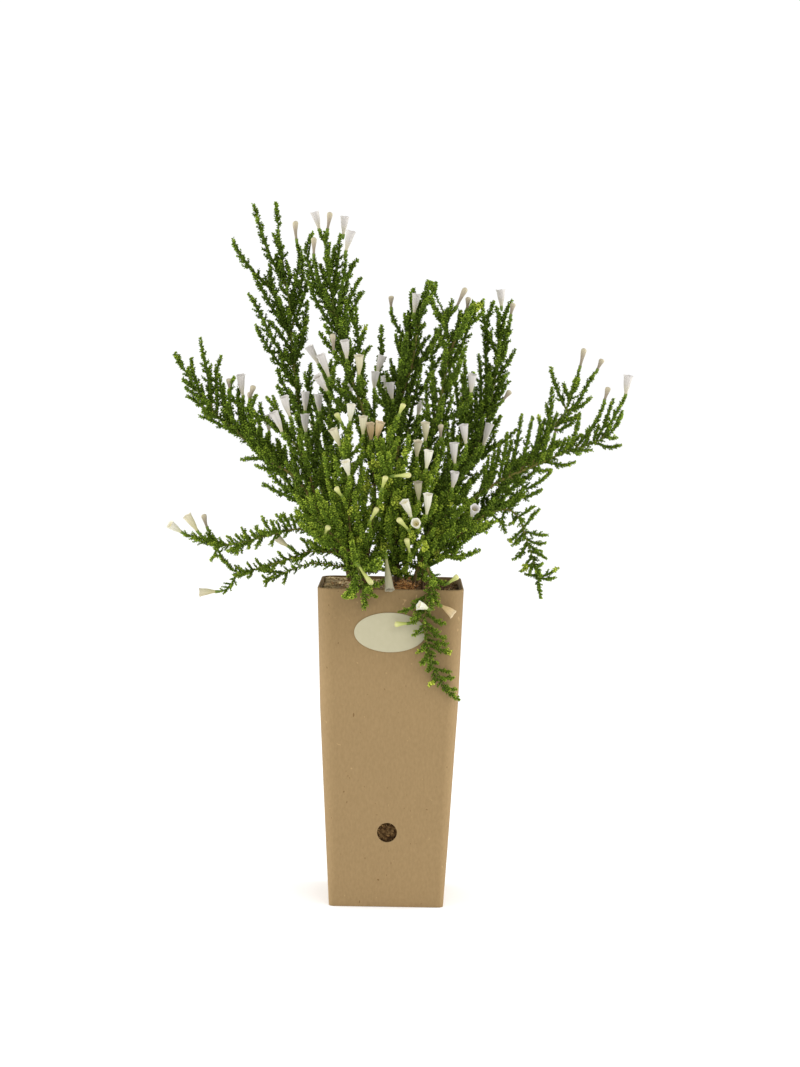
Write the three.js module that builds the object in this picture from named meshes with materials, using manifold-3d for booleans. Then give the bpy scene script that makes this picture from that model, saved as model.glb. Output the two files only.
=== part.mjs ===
// A false heath in flower: leafy stems that rise from a tall tapering pot of brown board.
// Millimetres, +Z up. The origin is the middle of the pot's foot, and the pot's label faces -Y.
import * as THREE from "three";
import Module from "manifold-3d";
import { mergeVertices } from "three/addons/utils/BufferGeometryUtils.js";

const wasm = await Module();
wasm.setup();

const gap = 0.3; // air left between pieces that touch

// The pot is a square tube. Its walls taper, bulge a little above the middle and have round corners.
const pot = {
  height: 240,
  wall: 2,
  widths: [[0, 85.8], [40, 90.8], [150, 102.8], [240, 108.7]], // height, then width
  corners: [[0, 4], [40, 8], [150, 11], [240, 12]], // height, then radius
  cornerSteps: 3,
};
const floor = { thick: 2.4 };
const drain = { radius: 7.4, height: 57, sides: 16 };
const seam = { width: 20, thick: 0.8, inset: 6 }; // the board's glued overlap, at a corner of the back face
const label = { width: 53, height: 29.5, centre: 208, thick: 0.5, sides: 24 };
const soil = { top: 234, lump: 2, rings: 3, holeAir: 0.4 };

const woody = { sides: 3, foot: 2.3, fork: 1.7, tip: 0.9, bareStep: 28, leafPitch: 14, leafReach: 2.9 };
const twig = { sides: 3, core: 0.9, reach: 2.9, pitch: 12.4, flowerPitch: 10.5, twist: 14, neck: 4 };
const flower = { sides: 5, base: 0.85, throat: 1.9, rim: 3.7, cup: 1.5 };
const bud = { base: 0.75, head: 1.9 };
const calyx = 1.35;
const ownBlooms = 37; // blooms that are pieces of their own: the others are fused to their spray
const filler = { spacing: 18, length: 34, shortest: 13, lean: 38, turn: 137.5 };

// A shoot may grow from a face of its spray that is not too long or too small and that faces its tip.
const footing = { longest: 15, smallest: 0.8, facing: 0.25, nearest: 8, tries: 14 };
// The angle that shoots make with the wood, and how much it counts against a short way.
const leafAim = { spread: 22, weight: 2 };
const flowerAim = { spread: 32, weight: 0.8 };
// The radius that each thing takes up, and the air that it keeps to the other sprays.
const room = { bough: 2.6, shoot: 2.5, bloom: 3.4, bud: 2.2, air: 0.5, freeFoot: 6, freeStem: 40, step: 3 };

// Each spray is a leafy stem. Its routes are the main stem and its forks, then come the places of the tips
// of its side shoots, of its blooms (foot, then mouth) and of its buds (foot, then tip). All of it leans back
// by its lean at leanHeight, or forward where that is negative. Each place is [x, depth, z], where x and z
// are as they show from the front, seen from the eye's distance against the plane through the pot's axis.
const leanHeight = 500;
const eye = { x: 6, distance: 1690, z: 397 };
const sprays = {
  tall_left: {
    seed: 11,
    lean: 24,
    leafyFrom: 0.3,
    routes: [
      [[-27, 8, 212], [-33, 10, 250], [-47, 12, 290], [-60, 14, 330], [-71, 14, 372], [-77, 13, 412],
        [-80, 12, 450], [-86, 10, 485], [-91, 8, 526]],
    ],
    tips: [[-108, 2, 524], [-123, 16, 498], [-111, 6, 457], [-105, 22, 433], [-88, 0, 400], [-71, 22, 486],
      [-64, 14, 478], [-66, 24, 452], [-66, 8, 440], [-82, 26, 478], [-95, 22, 470], [-88, 24, 388]],
    blooms: [[[-67, -6, 368], [-67, -8, 384]], [[-66, -14, 352], [-67, -17, 367]], [[-56, -10, 368],
      [-57, -13, 382]]],
    buds: [],
  },
  crown_left: {
    seed: 12,
    lean: -22,
    leafyFrom: 0.35,
    routes: [
      [[-22, 2, 212], [-20, 2, 250], [-14, 0, 290], [-15, -2, 330], [-22, -4, 365], [-34, -6, 400],
        [-44, -6, 435], [-50, -4, 470], [-54, -2, 504]],
    ],
    tips: [[-63, 4, 503], [-42, 4, 503], [-35, -4, 491], [-29, 6, 484], [-26, -4, 470], [-24, 8, 460],
      [-18, -6, 419], [-22, 8, 434], [-65, -4, 466], [-57, 6, 428], [-46, 12, 494], [-30, 14, 448]],
    blooms: [[[-58, 0, 505], [-62, 0, 519]], [[-40, -2, 501], [-39, -3, 516]], [[-38, -12, 489],
      [-34, -14, 505]], [[-36, -16, 408], [-38, -19, 423]], [[-27, -14, 396], [-27, -17, 412]],
      [[-49, -16, 394], [-56, -19, 412]], [[-50, -18, 384], [-58, -24, 396]], [[-57, -2, 404],
      [-65, -4, 418]]],
    buds: [[[-75, -6, 497], [-76, -7, 512]], [[-62, -10, 486], [-62, -11, 500]], [[-52, -7, 505],
      [-50, -8, 519]], [[-46, -14, 414], [-47, -16, 428]]],
  },
  left_arm: {
    seed: 13,
    lean: -30,
    aim: { spread: 34, weight: 2 },
    leafyFrom: 0.22,
    routes: [
      [[-31, -2, 212], [-40, -2, 255], [-54, -4, 292], [-74, -6, 319], [-96, -8, 333], [-116, -8, 350],
        [-134, -8, 365], [-147, -8, 381], [-156, -8, 395], [-166, -8, 410]],
      [[-55, -5, 298], [-66, -14, 330], [-80, -20, 350], [-95, -21, 360], [-105, -22, 366],
        [-109, -22, 376]],
    ],
    tips: [[-153, -2, 408], [-147, -12, 423], [-131, -6, 410], [-158, -14, 386], [-157, -4, 379],
      [-147, -6, 364], [-139, 0, 401], [-129, 4, 388], [-121, -20, 394], [-115, -8, 332], [-103, -4, 324],
      [-101, 2, 357], [-94, 4, 352], [-87, 0, 347], [-101, -16, 375], [-96, -27, 379], [-87, -14, 388]],
    blooms: [[[-114, -10, 379], [-116, -12, 396]], [[-84, -28, 352], [-91, -31, 368]], [[-78, -26, 364],
      [-83, -29, 380]]],
    buds: [[[-124, -8, 383], [-125, -9, 393]], [[-109, -18, 377], [-106, -19, 388]]],
  },
  low_left: {
    seed: 14,
    lean: -20,
    aim: { spread: 40, weight: 1.5 },
    leafyFrom: 0.2,
    routes: [
      [[-35, -12, 212], [-38, -15, 245], [-48, -21, 268], [-66, -26, 279], [-88, -28, 276],
        [-110, -28, 270], [-128, -28, 266], [-143, -28, 269], [-151, -28, 272]],
      [[-44, -18, 260], [-60, -14, 263], [-78, -12, 257], [-96, -12, 251], [-112, -14, 246],
        [-120, -14, 248], [-130, -14, 257]],
      [[-38, -15, 246], [-56, 0, 254], [-72, 6, 250], [-86, 8, 244], [-97, 8, 239]],
    ],
    tips: [[-99, -24, 289], [-92, -35, 286], [-114, -31, 280], [-119, -29, 259], [-103, -33, 264],
      [-91, -29, 266], [-137, -32, 254], [-98, -12, 314], [-84, -36, 291], [-110, -10, 254], [-86, -8, 262],
      [-102, 9, 243]],
    blooms: [[[-159, -28, 275.5], [-170, -33, 282]], [[-147, -31, 276], [-156, -32, 289]],
      [[-132, -17, 231], [-146, -18, 230]], [[-78, -20, 266], [-88, -22, 274]]],
    buds: [[[-140, -24, 279], [-143, -24, 290]]],
  },
  center_tall: {
    seed: 15,
    lean: 22,
    leafyFrom: 0.3,
    routes: [
      [[3, 12, 212], [3, 14, 255], [2, 16, 300], [4, 18, 345], [7, 18, 390], [10, 16, 425], [14, 14, 459]],
      [[7, 17, 385], [13, 10, 405], [17, 8, 430], [20, 8, 450], [24, 10, 469]],
    ],
    tips: [[-10, 24, 434], [26, 16, 427], [2, 28, 430], [-6, 26, 400], [20, 28, 410]],
    blooms: [[[14, 2, 443], [16, 1, 459]], [[-1, 6, 378], [-3, 4, 392]], [[-13, 10, 398], [-9, 8, 412]],
      [[-15, 0, 386], [-14, -2, 400]]],
    buds: [[[-3, 14, 447], [-3, 14, 457]]],
  },
  center_right: {
    seed: 16,
    lean: -18,
    leafyFrom: 0.3,
    routes: [
      [[10, 2, 212], [12, 2, 260], [18, 2, 305], [28, 0, 350], [37, -2, 390], [41, -4, 420], [37, -5, 443],
        [31, -4, 456], [26, -3, 468]],
      [[40, -4, 412], [47, -8, 428], [54, -10, 440], [61, -10, 451]],
    ],
    tips: [[43, -6, 455], [66, -4, 454], [31, -12, 428], [54, -14, 420], [28, 8, 420]],
    blooms: [[[24, -14, 347], [24, -17, 362]], [[58, -6, 384], [59, -8, 399]]],
    buds: [[[46, -6, 449], [53, -7, 464]], [[54, -3, 447], [55, -3, 457]], [[36, -16, 350],
      [36, -18, 361]]],
  },
  right_tall: {
    seed: 17,
    lean: 20,
    leafyFrom: 0.3,
    routes: [
      [[17, 9, 212], [22, 11, 258], [38, 13, 300], [57, 13, 332], [70, 12, 362], [75, 10, 388],
        [78, 9, 412], [78, 8, 435], [78, 7, 437]],
    ],
    tips: [[74, 10, 454], [68, 18, 427], [63, 6, 414], [88, 8, 455], [91, 2, 418], [86, 18, 400],
      [84, 20, 432], [58, 22, 400], [72, 0, 400]],
    blooms: [[[80, 6, 449], [79, 5, 463]], [[68, 0, 344], [73, -2, 362]]],
    buds: [[[87, 0, 443], [89, -1, 453]], [[82, 4, 379], [88, 3, 387]]],
  },
  right_arm: {
    seed: 18,
    lean: -24,
    aim: { spread: 58, weight: 1.2 },
    leafyFrom: 0.2,
    routes: [
      [[21, -1, 212], [26, -3, 250], [42, -8, 282], [62, -10, 305], [84, -12, 320], [108, -14, 331],
        [130, -14, 341], [150, -14, 348], [163, -14, 355], [171, -14, 368], [173, -14, 373]],
      [[96, -13, 326], [110, -4, 346], [121, 1, 360], [129, 2, 370], [134, 0, 386], [137, 0, 395]],
    ],
    tips: [[171, -8, 382], [178, -19, 381], [166, -9, 382], [173, -16, 347], [151, -19, 343],
      [138, -12, 334], [120, -20, 328], [97, -8, 369], [105, -18, 368], [110, -10, 369], [86, -18, 355],
      [80, -10, 347], [133, -19, 353], [118, 6, 405], [149, -2, 383], [141, 6, 371], [113, -22, 313]],
    blooms: [[[175, -14, 384.5], [177, -15, 400]]],
    buds: [[[159, -12, 380], [162, -12, 391]], [[140, 0, 405], [143, 0, 420]], [[153, 4, 403],
      [157, 4, 412]]],
  },
  right_low: {
    seed: 19,
    lean: 0,
    aim: { spread: 55, weight: 1.5 },
    leafyFrom: 0.2,
    routes: [
      [[25, -12, 212], [33, -16, 248], [49, -22, 275], [68, -26, 291], [86, -28, 297], [96, -30, 291],
        [101, -30, 278], [106, -30, 264], [111, -30, 248], [114, -30, 230]],
    ],
    tips: [[108, -35, 300], [112, -25, 298], [119, -31, 278], [92, -27, 259], [88, -34, 274],
      [118, -34, 260], [127, -29, 253], [98, -33, 250], [86, -30, 279], [100, -36, 313]],
    blooms: [],
    buds: [],
  },
  right_front: {
    seed: 20,
    lean: 0,
    leafyFrom: 0.34,
    routes: [
      [[17, -22, 212], [22, -28, 248], [33, -36, 270], [47, -42, 282], [61, -45, 284], [72, -46, 279]],
    ],
    tips: [[79, -46, 288], [67, -44, 266], [56, -48, 260], [40, -44, 260], [62, -40, 304], [38, -30, 310]],
    blooms: [[[47, -30, 330], [46, -33, 347]], [[55, -26, 345], [53, -29, 361]], [[45, -38, 312],
      [47, -41, 325]], [[60, -46, 291], [63, -55, 298]]],
    buds: [],
  },
  front_bush: {
    seed: 21,
    lean: -16,
    leafyFrom: 0.22,
    routes: [
      [[5, -12, 212], [5, -18, 255], [1, -30, 290], [-3, -36, 325], [-2, -37, 350], [0, -37, 357]],
      [[4, -20, 262], [14, -32, 285], [20, -36, 305], [24, -36, 325]],
    ],
    tips: [[-19, -40, 343], [12, -42, 352], [-26, -44, 322], [-10, -50, 338], [34, -40, 330],
      [-22, -46, 300]],
    blooms: [[[15, -48, 289], [9, -54, 302]], [[26, -46, 291], [27, -50, 308]], [[20, -48, 282],
      [18, -64, 286]], [[20, -43, 302], [19, -46, 317]], [[25, -40, 326], [27, -42, 341]], [[18, -24, 335],
      [19, -28, 348]]],
    buds: [[[4, -36, 367], [8, -37, 376]], [[-8, -50, 311], [-5, -53, 321]], [[0, -48, 321],
      [14, -53, 322]], [[13, -50, 280], [4, -54, 289]], [[14, -46, 262], [11, -50, 274]]],
  },
  front_left: {
    seed: 22,
    lean: -12,
    leafyFrom: 0.22,
    routes: [
      [[-26, -21, 212], [-29, -28, 250], [-32, -36, 285], [-34, -38, 315], [-34, -35, 340],
        [-34, -33, 351]],
      [[-30, -31, 262], [-44, -42, 274], [-57, -47, 288], [-67, -48, 302]],
    ],
    tips: [[-50, -42, 318], [-74, -42, 306], [-62, -54, 284], [-46, -52, 300], [-52, -34, 338]],
    blooms: [[[-33, -32, 361], [-32, -34, 375]], [[-23, -32, 351], [-23, -35, 366]], [[-17, -24, 347],
      [-18, -27, 361]], [[-13, -31, 348], [-10, -34, 362]], [[-40, -36, 342], [-46, -39, 356]],
      [[-33, -46, 320], [-36, -50, 332]]],
    buds: [[[-38, -46, 305], [-43, -50, 312]], [[-17, -46, 286], [-11, -49, 297]], [[-51, -50, 276],
      [-48, -55, 282]], [[-39, -26, 360], [-44, -28, 368]]],
  },
  front_over: {
    seed: 23,
    lean: 0,
    leafyFrom: 0.34,
    routes: [
      [[-17, -14, 212], [-20, -24, 247], [-25, -40, 257], [-25, -52, 252], [-23, -59, 241], [-20, -60, 231],
        [-20, -60, 219]],
    ],
    tips: [[-30, -59, 236], [-11, -61, 229], [-37, -44, 250]],
    blooms: [[[-4, -51, 259], [-1, -62, 234]]],
    buds: [[[-25, -60, 253], [-14, -65, 238]]],
  },
  front_droop: {
    seed: 24,
    lean: 0,
    aim: { spread: 60, weight: 1.5 },
    leafyFrom: 0.2,
    routes: [
      [[24, -28, 212], [24, -36, 244], [26, -50, 253], [30, -60, 242], [27, -61, 230], [26, -61, 215],
        [26, -60, 204], [29, -59, 192], [32, -58, 178], [37, -57, 168], [43, -56, 158], [53, -55, 151]],
    ],
    tips: [[42, -59, 209], [43, -61, 198], [47, -58, 188], [49, -58, 168], [16, -67, 213], [17, -60, 200],
      [20, -59, 186], [29, -58, 172], [30, -58, 161], [17, -58, 226]],
    blooms: [[[38, -60, 223], [48, -62, 216]], [[29, -67, 220], [21, -70, 223]]],
    buds: [[[14, -60, 209], [3, -61, 208]], [[43, -52, 240], [51, -54, 246]]],
  },
  back_left: {
    seed: 25,
    lean: 0,
    leafyFrom: 0.28,
    routes: [
      [[-28, 20, 212], [-34, 28, 258], [-41, 42, 300], [-47, 54, 342], [-49, 66, 378], [-48, 76, 408]],
    ],
    tips: [[-68, 56, 398], [-34, 70, 402], [-64, 72, 376], [-30, 66, 372], [-76, 56, 352], [-54, 92, 372],
      [-36, 88, 350], [-68, 70, 326], [-46, 96, 336]],
    blooms: [[[-50, 92, 384], [-52, 99, 397]], [[-36, 84, 376], [-33, 93, 388]]],
    buds: [[[-60, 84, 352], [-62, 92, 362]]],
  },
  back_low_left: {
    seed: 26,
    lean: 0,
    leafyFrom: 0.2,
    routes: [
      [[-36, 30, 212], [-47, 42, 254], [-64, 56, 292], [-84, 68, 322], [-102, 78, 346], [-117, 86, 368]],
    ],
    tips: [[-126, 76, 366], [-102, 92, 372], [-112, 64, 352], [-84, 86, 350], [-96, 82, 326],
      [-92, 60, 338], [-66, 84, 318], [-78, 70, 290]],
    blooms: [[[-94, 88, 352], [-95, 95, 365]]],
    buds: [[[-108, 88, 372], [-109, 92, 383]]],
  },
  back_mid: {
    seed: 27,
    lean: 10,
    leafyFrom: 0.28,
    routes: [
      [[4, 26, 212], [3, 38, 258], [0, 52, 305], [-2, 64, 348], [2, 74, 384], [6, 82, 412]],
    ],
    tips: [[-14, 78, 404], [20, 76, 404], [-20, 74, 376], [26, 84, 372], [-14, 94, 358], [18, 96, 346],
      [-26, 80, 332], [12, 92, 316], [-10, 86, 292]],
    blooms: [[[-6, 92, 384], [-8, 99, 397]], [[18, 92, 366], [21, 99, 379]]],
    buds: [[[4, 94, 372], [4, 101, 382]]],
  },
  back_right: {
    seed: 28,
    lean: 0,
    leafyFrom: 0.28,
    routes: [
      [[20, 23, 212], [28, 33, 258], [39, 46, 298], [49, 58, 336], [56, 68, 370], [60, 78, 400]],
    ],
    tips: [[46, 74, 398], [74, 70, 392], [40, 74, 366], [78, 66, 366], [66, 90, 364], [46, 92, 346],
      [76, 78, 338], [36, 82, 314], [58, 90, 316]],
    blooms: [[[54, 90, 372], [53, 98, 384]], [[68, 88, 350], [71, 96, 362]]],
    buds: [[[58, 92, 336], [60, 99, 346]]],
  },
  back_low_right: {
    seed: 29,
    lean: 0,
    leafyFrom: 0.2,
    routes: [
      [[31, 31, 212], [42, 43, 252], [60, 56, 284], [82, 68, 310], [106, 78, 332], [126, 86, 350]],
    ],
    tips: [[138, 76, 352], [116, 92, 358], [112, 64, 348], [92, 88, 338], [100, 84, 314], [76, 86, 304],
      [98, 60, 334]],
    blooms: [[[104, 92, 342], [106, 98, 355]]],
    buds: [[[122, 90, 354], [124, 94, 365]]],
  },
};

const V = (x, y, z) => new THREE.Vector3(x, y, z);
const up = V(0, 0, 1);
const blend = (a, b, share) => a.clone().lerp(b, share);
const { lerp, clamp, degToRad, radToDeg } = THREE.MathUtils;

// The same draws each time, from 0 to 1.
const random = (seed) => () => {
  seed = (seed + 0x6d2b79f5) | 0;
  let t = Math.imul(seed ^ (seed >>> 15), 1 | seed);
  t = (t + Math.imul(t ^ (t >>> 7), 61 | t)) ^ t;
  return ((t ^ (t >>> 14)) >>> 0) / 4294967296;
};

// A value at a height, from a list of [height, value].
function valueAt(list, z) {
  const i = z < list[1][0] ? 0 : 1;
  const [[z0, a], [z1, b]] = [list[i], list[i + 1]];
  return lerp(a, b, (z - z0) / (z1 - z0));
}
const widthAt = (z) => valueAt(pot.widths, z);

function placeOf(spray, [x, depth, z]) {
  const y = depth + (spray.lean * Math.max(0, z - pot.height)) / (leanHeight - pot.height);
  const far = 1 + y / eye.distance;
  return V(eye.x + (x - eye.x) * far, y, eye.z + (z - eye.z) * far);
}

// Lines

// A smooth line through the points, with a few steps to each span.
function smoothLine(points, steps = 6) {
  const line = [];
  for (let i = 0; i < points.length - 1; i++) {
    const [a, b, c, d] = [i - 1, i, i + 1, i + 2].map((k) => points[clamp(k, 0, points.length - 1)]);
    const slope = c.clone().sub(a);
    const bend = a.clone().multiplyScalar(2).addScaledVector(b, -5).addScaledVector(c, 4).sub(d);
    const swing = b.clone().multiplyScalar(3).sub(a).addScaledVector(c, -3).add(d);
    for (let k = 0; k < steps; k++) {
      const t = k / steps;
      const step = b.clone().multiplyScalar(2).addScaledVector(slope, t);
      step.addScaledVector(bend, t ** 2).addScaledVector(swing, t ** 3);
      line.push(step.multiplyScalar(0.5));
    }
  }
  line.push(points[points.length - 1].clone());
  return line;
}

function lengths(line) {
  const run = [0];
  for (let i = 1; i < line.length; i++) run.push(run[i - 1] + line[i].distanceTo(line[i - 1]));
  return run;
}

// The point of a line at a distance along it, with the direction there.
function pointAt(line, run, distance) {
  let i = 1;
  while (i < line.length - 1 && run[i] < distance) i++;
  const share = (distance - run[i - 1]) / (run[i] - run[i - 1]);
  return {
    point: blend(line[i - 1], line[i], share),
    along: line[i].clone().sub(line[i - 1]).normalize(),
  };
}

// A side shoot bends from the way it leaves its stem to the way its end points.
function shootLine(from, leaving, tip, ending) {
  const reach = from.distanceTo(tip) * 0.36;
  const first = from.clone().addScaledVector(leaving, reach);
  const second = tip.clone().addScaledVector(ending, -reach);
  return new THREE.CubicBezierCurve3(from, first, second, tip).getPoints(8);
}

// Room: the places already taken, so that a shoot keeps clear of the other sprays and of the pot

const taken = [];
function samples(line, radius, owner, from = 0) {
  const run = lengths(line);
  const found = [];
  for (let s = from; s <= run[run.length - 1]; s += room.step) {
    found.push({ point: pointAt(line, run, s).point, radius, owner });
  }
  return found;
}
function meets(one, two) {
  return one.owner !== two.owner && one.point.distanceTo(two.point) < one.radius + two.radius + room.air;
}
function meetsPot({ point, radius }) {
  const clear = radius + room.air;
  if (point.z > pot.height + clear) return false;
  const far = Math.max(Math.abs(point.x), Math.abs(point.y));
  const wall = widthAt(point.z) / 2;
  if (far > wall) return far < wall + gap + label.thick + clear;
  return far > wall - pot.wall - clear || point.z < soil.top + soil.lump + radius;
}
const crowded = (mine) => mine.some((one) => meetsPot(one) || taken.some((two) => meets(one, two)));

// Closed meshes, as lists of points and of faces

// Faces between two rings, where the second has the same count and is turned half a step, or has twice the
// count.
function bridge(low, high) {
  const n = low.length;
  const faces = [];
  for (let j = 0; j < n; j++) {
    const k = (j + 1) % n;
    if (high.length === n) {
      faces.push([low[j], low[k], high[j]], [low[k], high[k], high[j]]);
    } else {
      const [a, b, c] = [high[2 * j], high[2 * j + 1], high[2 * k]];
      faces.push([low[j], low[k], b], [low[j], b, a], [low[k], c, b]);
    }
  }
  return faces;
}
const fan = (ring) => ring.slice(2).map((last, j) => [ring[0], ring[j + 1], last]);
const cone = (ring, tip) => ring.map((first, j) => [first, ring[(j + 1) % ring.length], tip]);

// Adds rings of points after a first ring, and closes the last one with a tip or flat.
function carryOn(points, first, rings, tip) {
  const faces = [];
  let last = first;
  for (const ring of rings) {
    const next = ring.map((p) => points.push(p) - 1);
    faces.push(...bridge(last, next));
    last = next;
  }
  return faces.concat(tip ? cone(last, points.push(tip) - 1) : fan(last));
}

function loft(rings, tip) {
  const points = [...rings[0]];
  const first = points.map((_, j) => j);
  const end = fan([...first].reverse());
  return { faces: [...end, ...carryOn(points, first, rings.slice(1), tip)], points };
}

function geometryOf({ points, faces }) {
  const geometry = new THREE.BufferGeometry();
  const numbers = points.flatMap((p) => p.toArray());
  geometry.setAttribute("position", new THREE.Float32BufferAttribute(numbers, 3));
  geometry.setIndex(faces.flat());
  geometry.computeVertexNormals();
  return geometry;
}

function solidOf(geometry) {
  const bare = geometry.clone();
  for (const name of Object.keys(bare.attributes)) if (name !== "position") bare.deleteAttribute(name);
  const merged = mergeVertices(bare, 1e-4);
  const vertProperties = new Float32Array(merged.attributes.position.array);
  const triVerts = new Uint32Array(merged.index.array);
  return new wasm.Manifold(new wasm.Mesh({ numProp: 3, vertProperties, triVerts }));
}
const solid = (mesh) => solidOf(geometryOf(mesh));

// Turns a joined or cut solid back to points and faces.
function meshOf(made) {
  const { vertProperties: v, triVerts: t } = made.getMesh();
  const points = [];
  const faces = [];
  for (let i = 0; i < v.length; i += 3) points.push(V(v[i], v[i + 1], v[i + 2]));
  for (let i = 0; i < t.length; i += 3) faces.push([t[i], t[i + 1], t[i + 2]]);
  return { points, faces };
}

// Rings of points round a line, for stops of [distance, radius]. The first ring starts on the side given, and
// each later one is turned half a step more, with a little twist, while the frame follows the line.
function ringsOn(line, stops, sides, start = V(0, 1, 0), twist = 0) {
  const run = lengths(line);
  let side = start;
  let angle = 0;
  return stops.map(([distance, radius]) => {
    const { point, along } = pointAt(line, run, distance);
    side = side.clone().addScaledVector(along, -side.dot(along)).normalize();
    const other = along.clone().cross(side);
    const ring = [];
    for (let j = 0; j < sides; j++) {
      const a = angle + (j * 2 * Math.PI) / sides;
      const out = side.clone().multiplyScalar(Math.cos(a)).addScaledVector(other, Math.sin(a));
      ring.push(point.clone().addScaledVector(out, radius));
    }
    angle += Math.PI / sides + degToRad(twist);
    return ring;
  });
}

// Stops for whorls of scale leaves: each flares to its leaf tips, and draws in again to the core.
function whorls(from, to, pitch, core, reach) {
  const count = Math.max(1, Math.round((to - from) / pitch));
  const step = (to - from) / count;
  const stops = [];
  for (let k = 0; k < count; k++) {
    const s = from + k * step;
    stops.push([s, core(s)], [s + step * 0.62, reach * (1 - (0.3 * k) / count)]);
  }
  return stops;
}

// Stops for the stretch of a stem below its leaves.
function bareStops(bare, radiusAt) {
  const count = Math.max(1, Math.round(bare / woody.bareStep));
  return Array.from({ length: count }, (_, k) => (k * bare) / count).map((s) => [s, radiusAt(s)]);
}

function stemMesh(line, leafyFrom, foot) {
  const total = lengths(line).at(-1);
  const radiusAt = (s) => lerp(foot, woody.tip, s / total);
  const bare = leafyFrom * total;
  const leafy = whorls(bare, total, woody.leafPitch, radiusAt, woody.leafReach);
  return loft(ringsOn(line, [...bareStops(bare, radiusAt), ...leafy], woody.sides), line.at(-1));
}

// The hole that a stem stands in, a little wider and deeper than its foot.
function stemHole(line, leafyFrom) {
  const total = lengths(line).at(-1);
  const radiusAt = (s) => lerp(woody.foot, woody.tip, s / total) + soil.holeAir;
  const bare = leafyFrom * total;
  const stops = [...bareStops(bare, radiusAt).slice(0, 2), [bare, radiusAt(bare)]];
  return solid(loft(ringsOn(line, stops, woody.sides))).translate([0, 0, -soil.holeAir]);
}

// Shoots grown out of a face of their spray

// Whether the edge from p to q passes through the triangle a, b, c.
function pierces(p, q, a, b, c) {
  const side = (o, u, v, w) => u.clone().sub(o).cross(v.clone().sub(o)).dot(w.clone().sub(o)) > 0;
  if (side(a, b, c, p) === side(a, b, c, q)) return false;
  const turn = side(p, q, a, b);
  return side(p, q, b, c) === turn && side(p, q, c, a) === turn;
}
function crosses(points, one, two) {
  for (const [edges, face] of [[one, two], [two, one]]) {
    for (let j = 0; j < 3; j++) {
      const [p, q] = [edges[j], edges[(j + 1) % 3]];
      if (face.includes(p) || face.includes(q)) continue;
      if (pierces(points[p], points[q], ...face.map((k) => points[k]))) return true;
    }
  }
  return false;
}
const boxOf = (points, face) => new THREE.Box3().setFromPoints(face.map((k) => points[k]));

// Opens one face of the mesh into a shoot with these rings, unless the shoot would cross the mesh.
function sprout(mesh, faceIndex, rings, tip) {
  const { points, faces } = mesh;
  mesh.boxes ??= faces.map((face) => boxOf(points, face));
  const count = points.length;
  const fresh = carryOn(points, faces[faceIndex], rings, tip);
  const boxes = fresh.map((face) => boxOf(points, face));
  const whole = boxes.reduce((all, box) => all.union(box), new THREE.Box3());
  const close = [...faces.keys()].filter((k) => k !== faceIndex && whole.intersectsBox(mesh.boxes[k]));
  const hitsMesh = (face, i) =>
    close.some((k) => boxes[i].intersectsBox(mesh.boxes[k]) && crosses(points, face, faces[k]));
  const hitsItself = (face, i) =>
    fresh.some((other, j) => j > i && boxes[i].intersectsBox(boxes[j]) && crosses(points, face, other));
  if (fresh.some((face, i) => hitsMesh(face, i) || hitsItself(face, i))) {
    points.length = count;
    return false;
  }
  faces.splice(faceIndex, 1, ...fresh);
  mesh.boxes.splice(faceIndex, 1, ...boxes);
  return true;
}

function alongNear(wood, point) {
  let best = null;
  for (const line of wood) {
    for (let i = 1; i < line.length; i++) {
      const far = line[i].distanceTo(point);
      if (!best || far < best.far) best = { far, along: line[i].clone().sub(line[i - 1]).normalize() };
    }
  }
  return best.along;
}

// The faces that a shoot to this tip could grow from, best first.
function footings({ mesh, wood }, tip, { spread, weight }) {
  const found = [];
  mesh.faces.forEach((face, index) => {
    const [a, b, c] = face.map((k) => mesh.points[k]);
    const sides = [a.distanceTo(b), b.distanceTo(c), c.distanceTo(a)];
    const centre = a.clone().add(b).add(c).divideScalar(3);
    const far = centre.distanceTo(tip);
    const way = tip.clone().sub(centre).normalize();
    const normal = b.clone().sub(a).cross(c.clone().sub(a)).normalize();
    const facing = normal.dot(way);
    if (Math.max(...sides) > footing.longest || Math.min(...sides) < footing.smallest) return;
    if (facing < footing.facing || far < footing.nearest) return;
    const along = alongNear(wood, centre);
    const off = Math.abs(radToDeg(along.angleTo(way)) - spread);
    const start = blend(a, b, 0.5).sub(centre);
    found.push({ index, centre, way, normal, along, start, cost: far + off * weight - facing * 8 });
  });
  return found.sort((one, two) => one.cost - two.cost).slice(0, footing.tries);
}

// Stops of a trumpet: a slim tube that opens to a flared mouth, with a dished throat.
function bloomStops(foot, mouth) {
  const length = foot.distanceTo(mouth);
  return [
    [gap, flower.base],
    [length * 0.66, flower.throat],
    [length, flower.rim],
    [length * 0.84, flower.cup],
  ];
}
function budStops(foot, tip) {
  const length = foot.distanceTo(tip);
  return [
    [length * 0.1, bud.base],
    [length * 0.85, bud.head],
  ];
}

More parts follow.
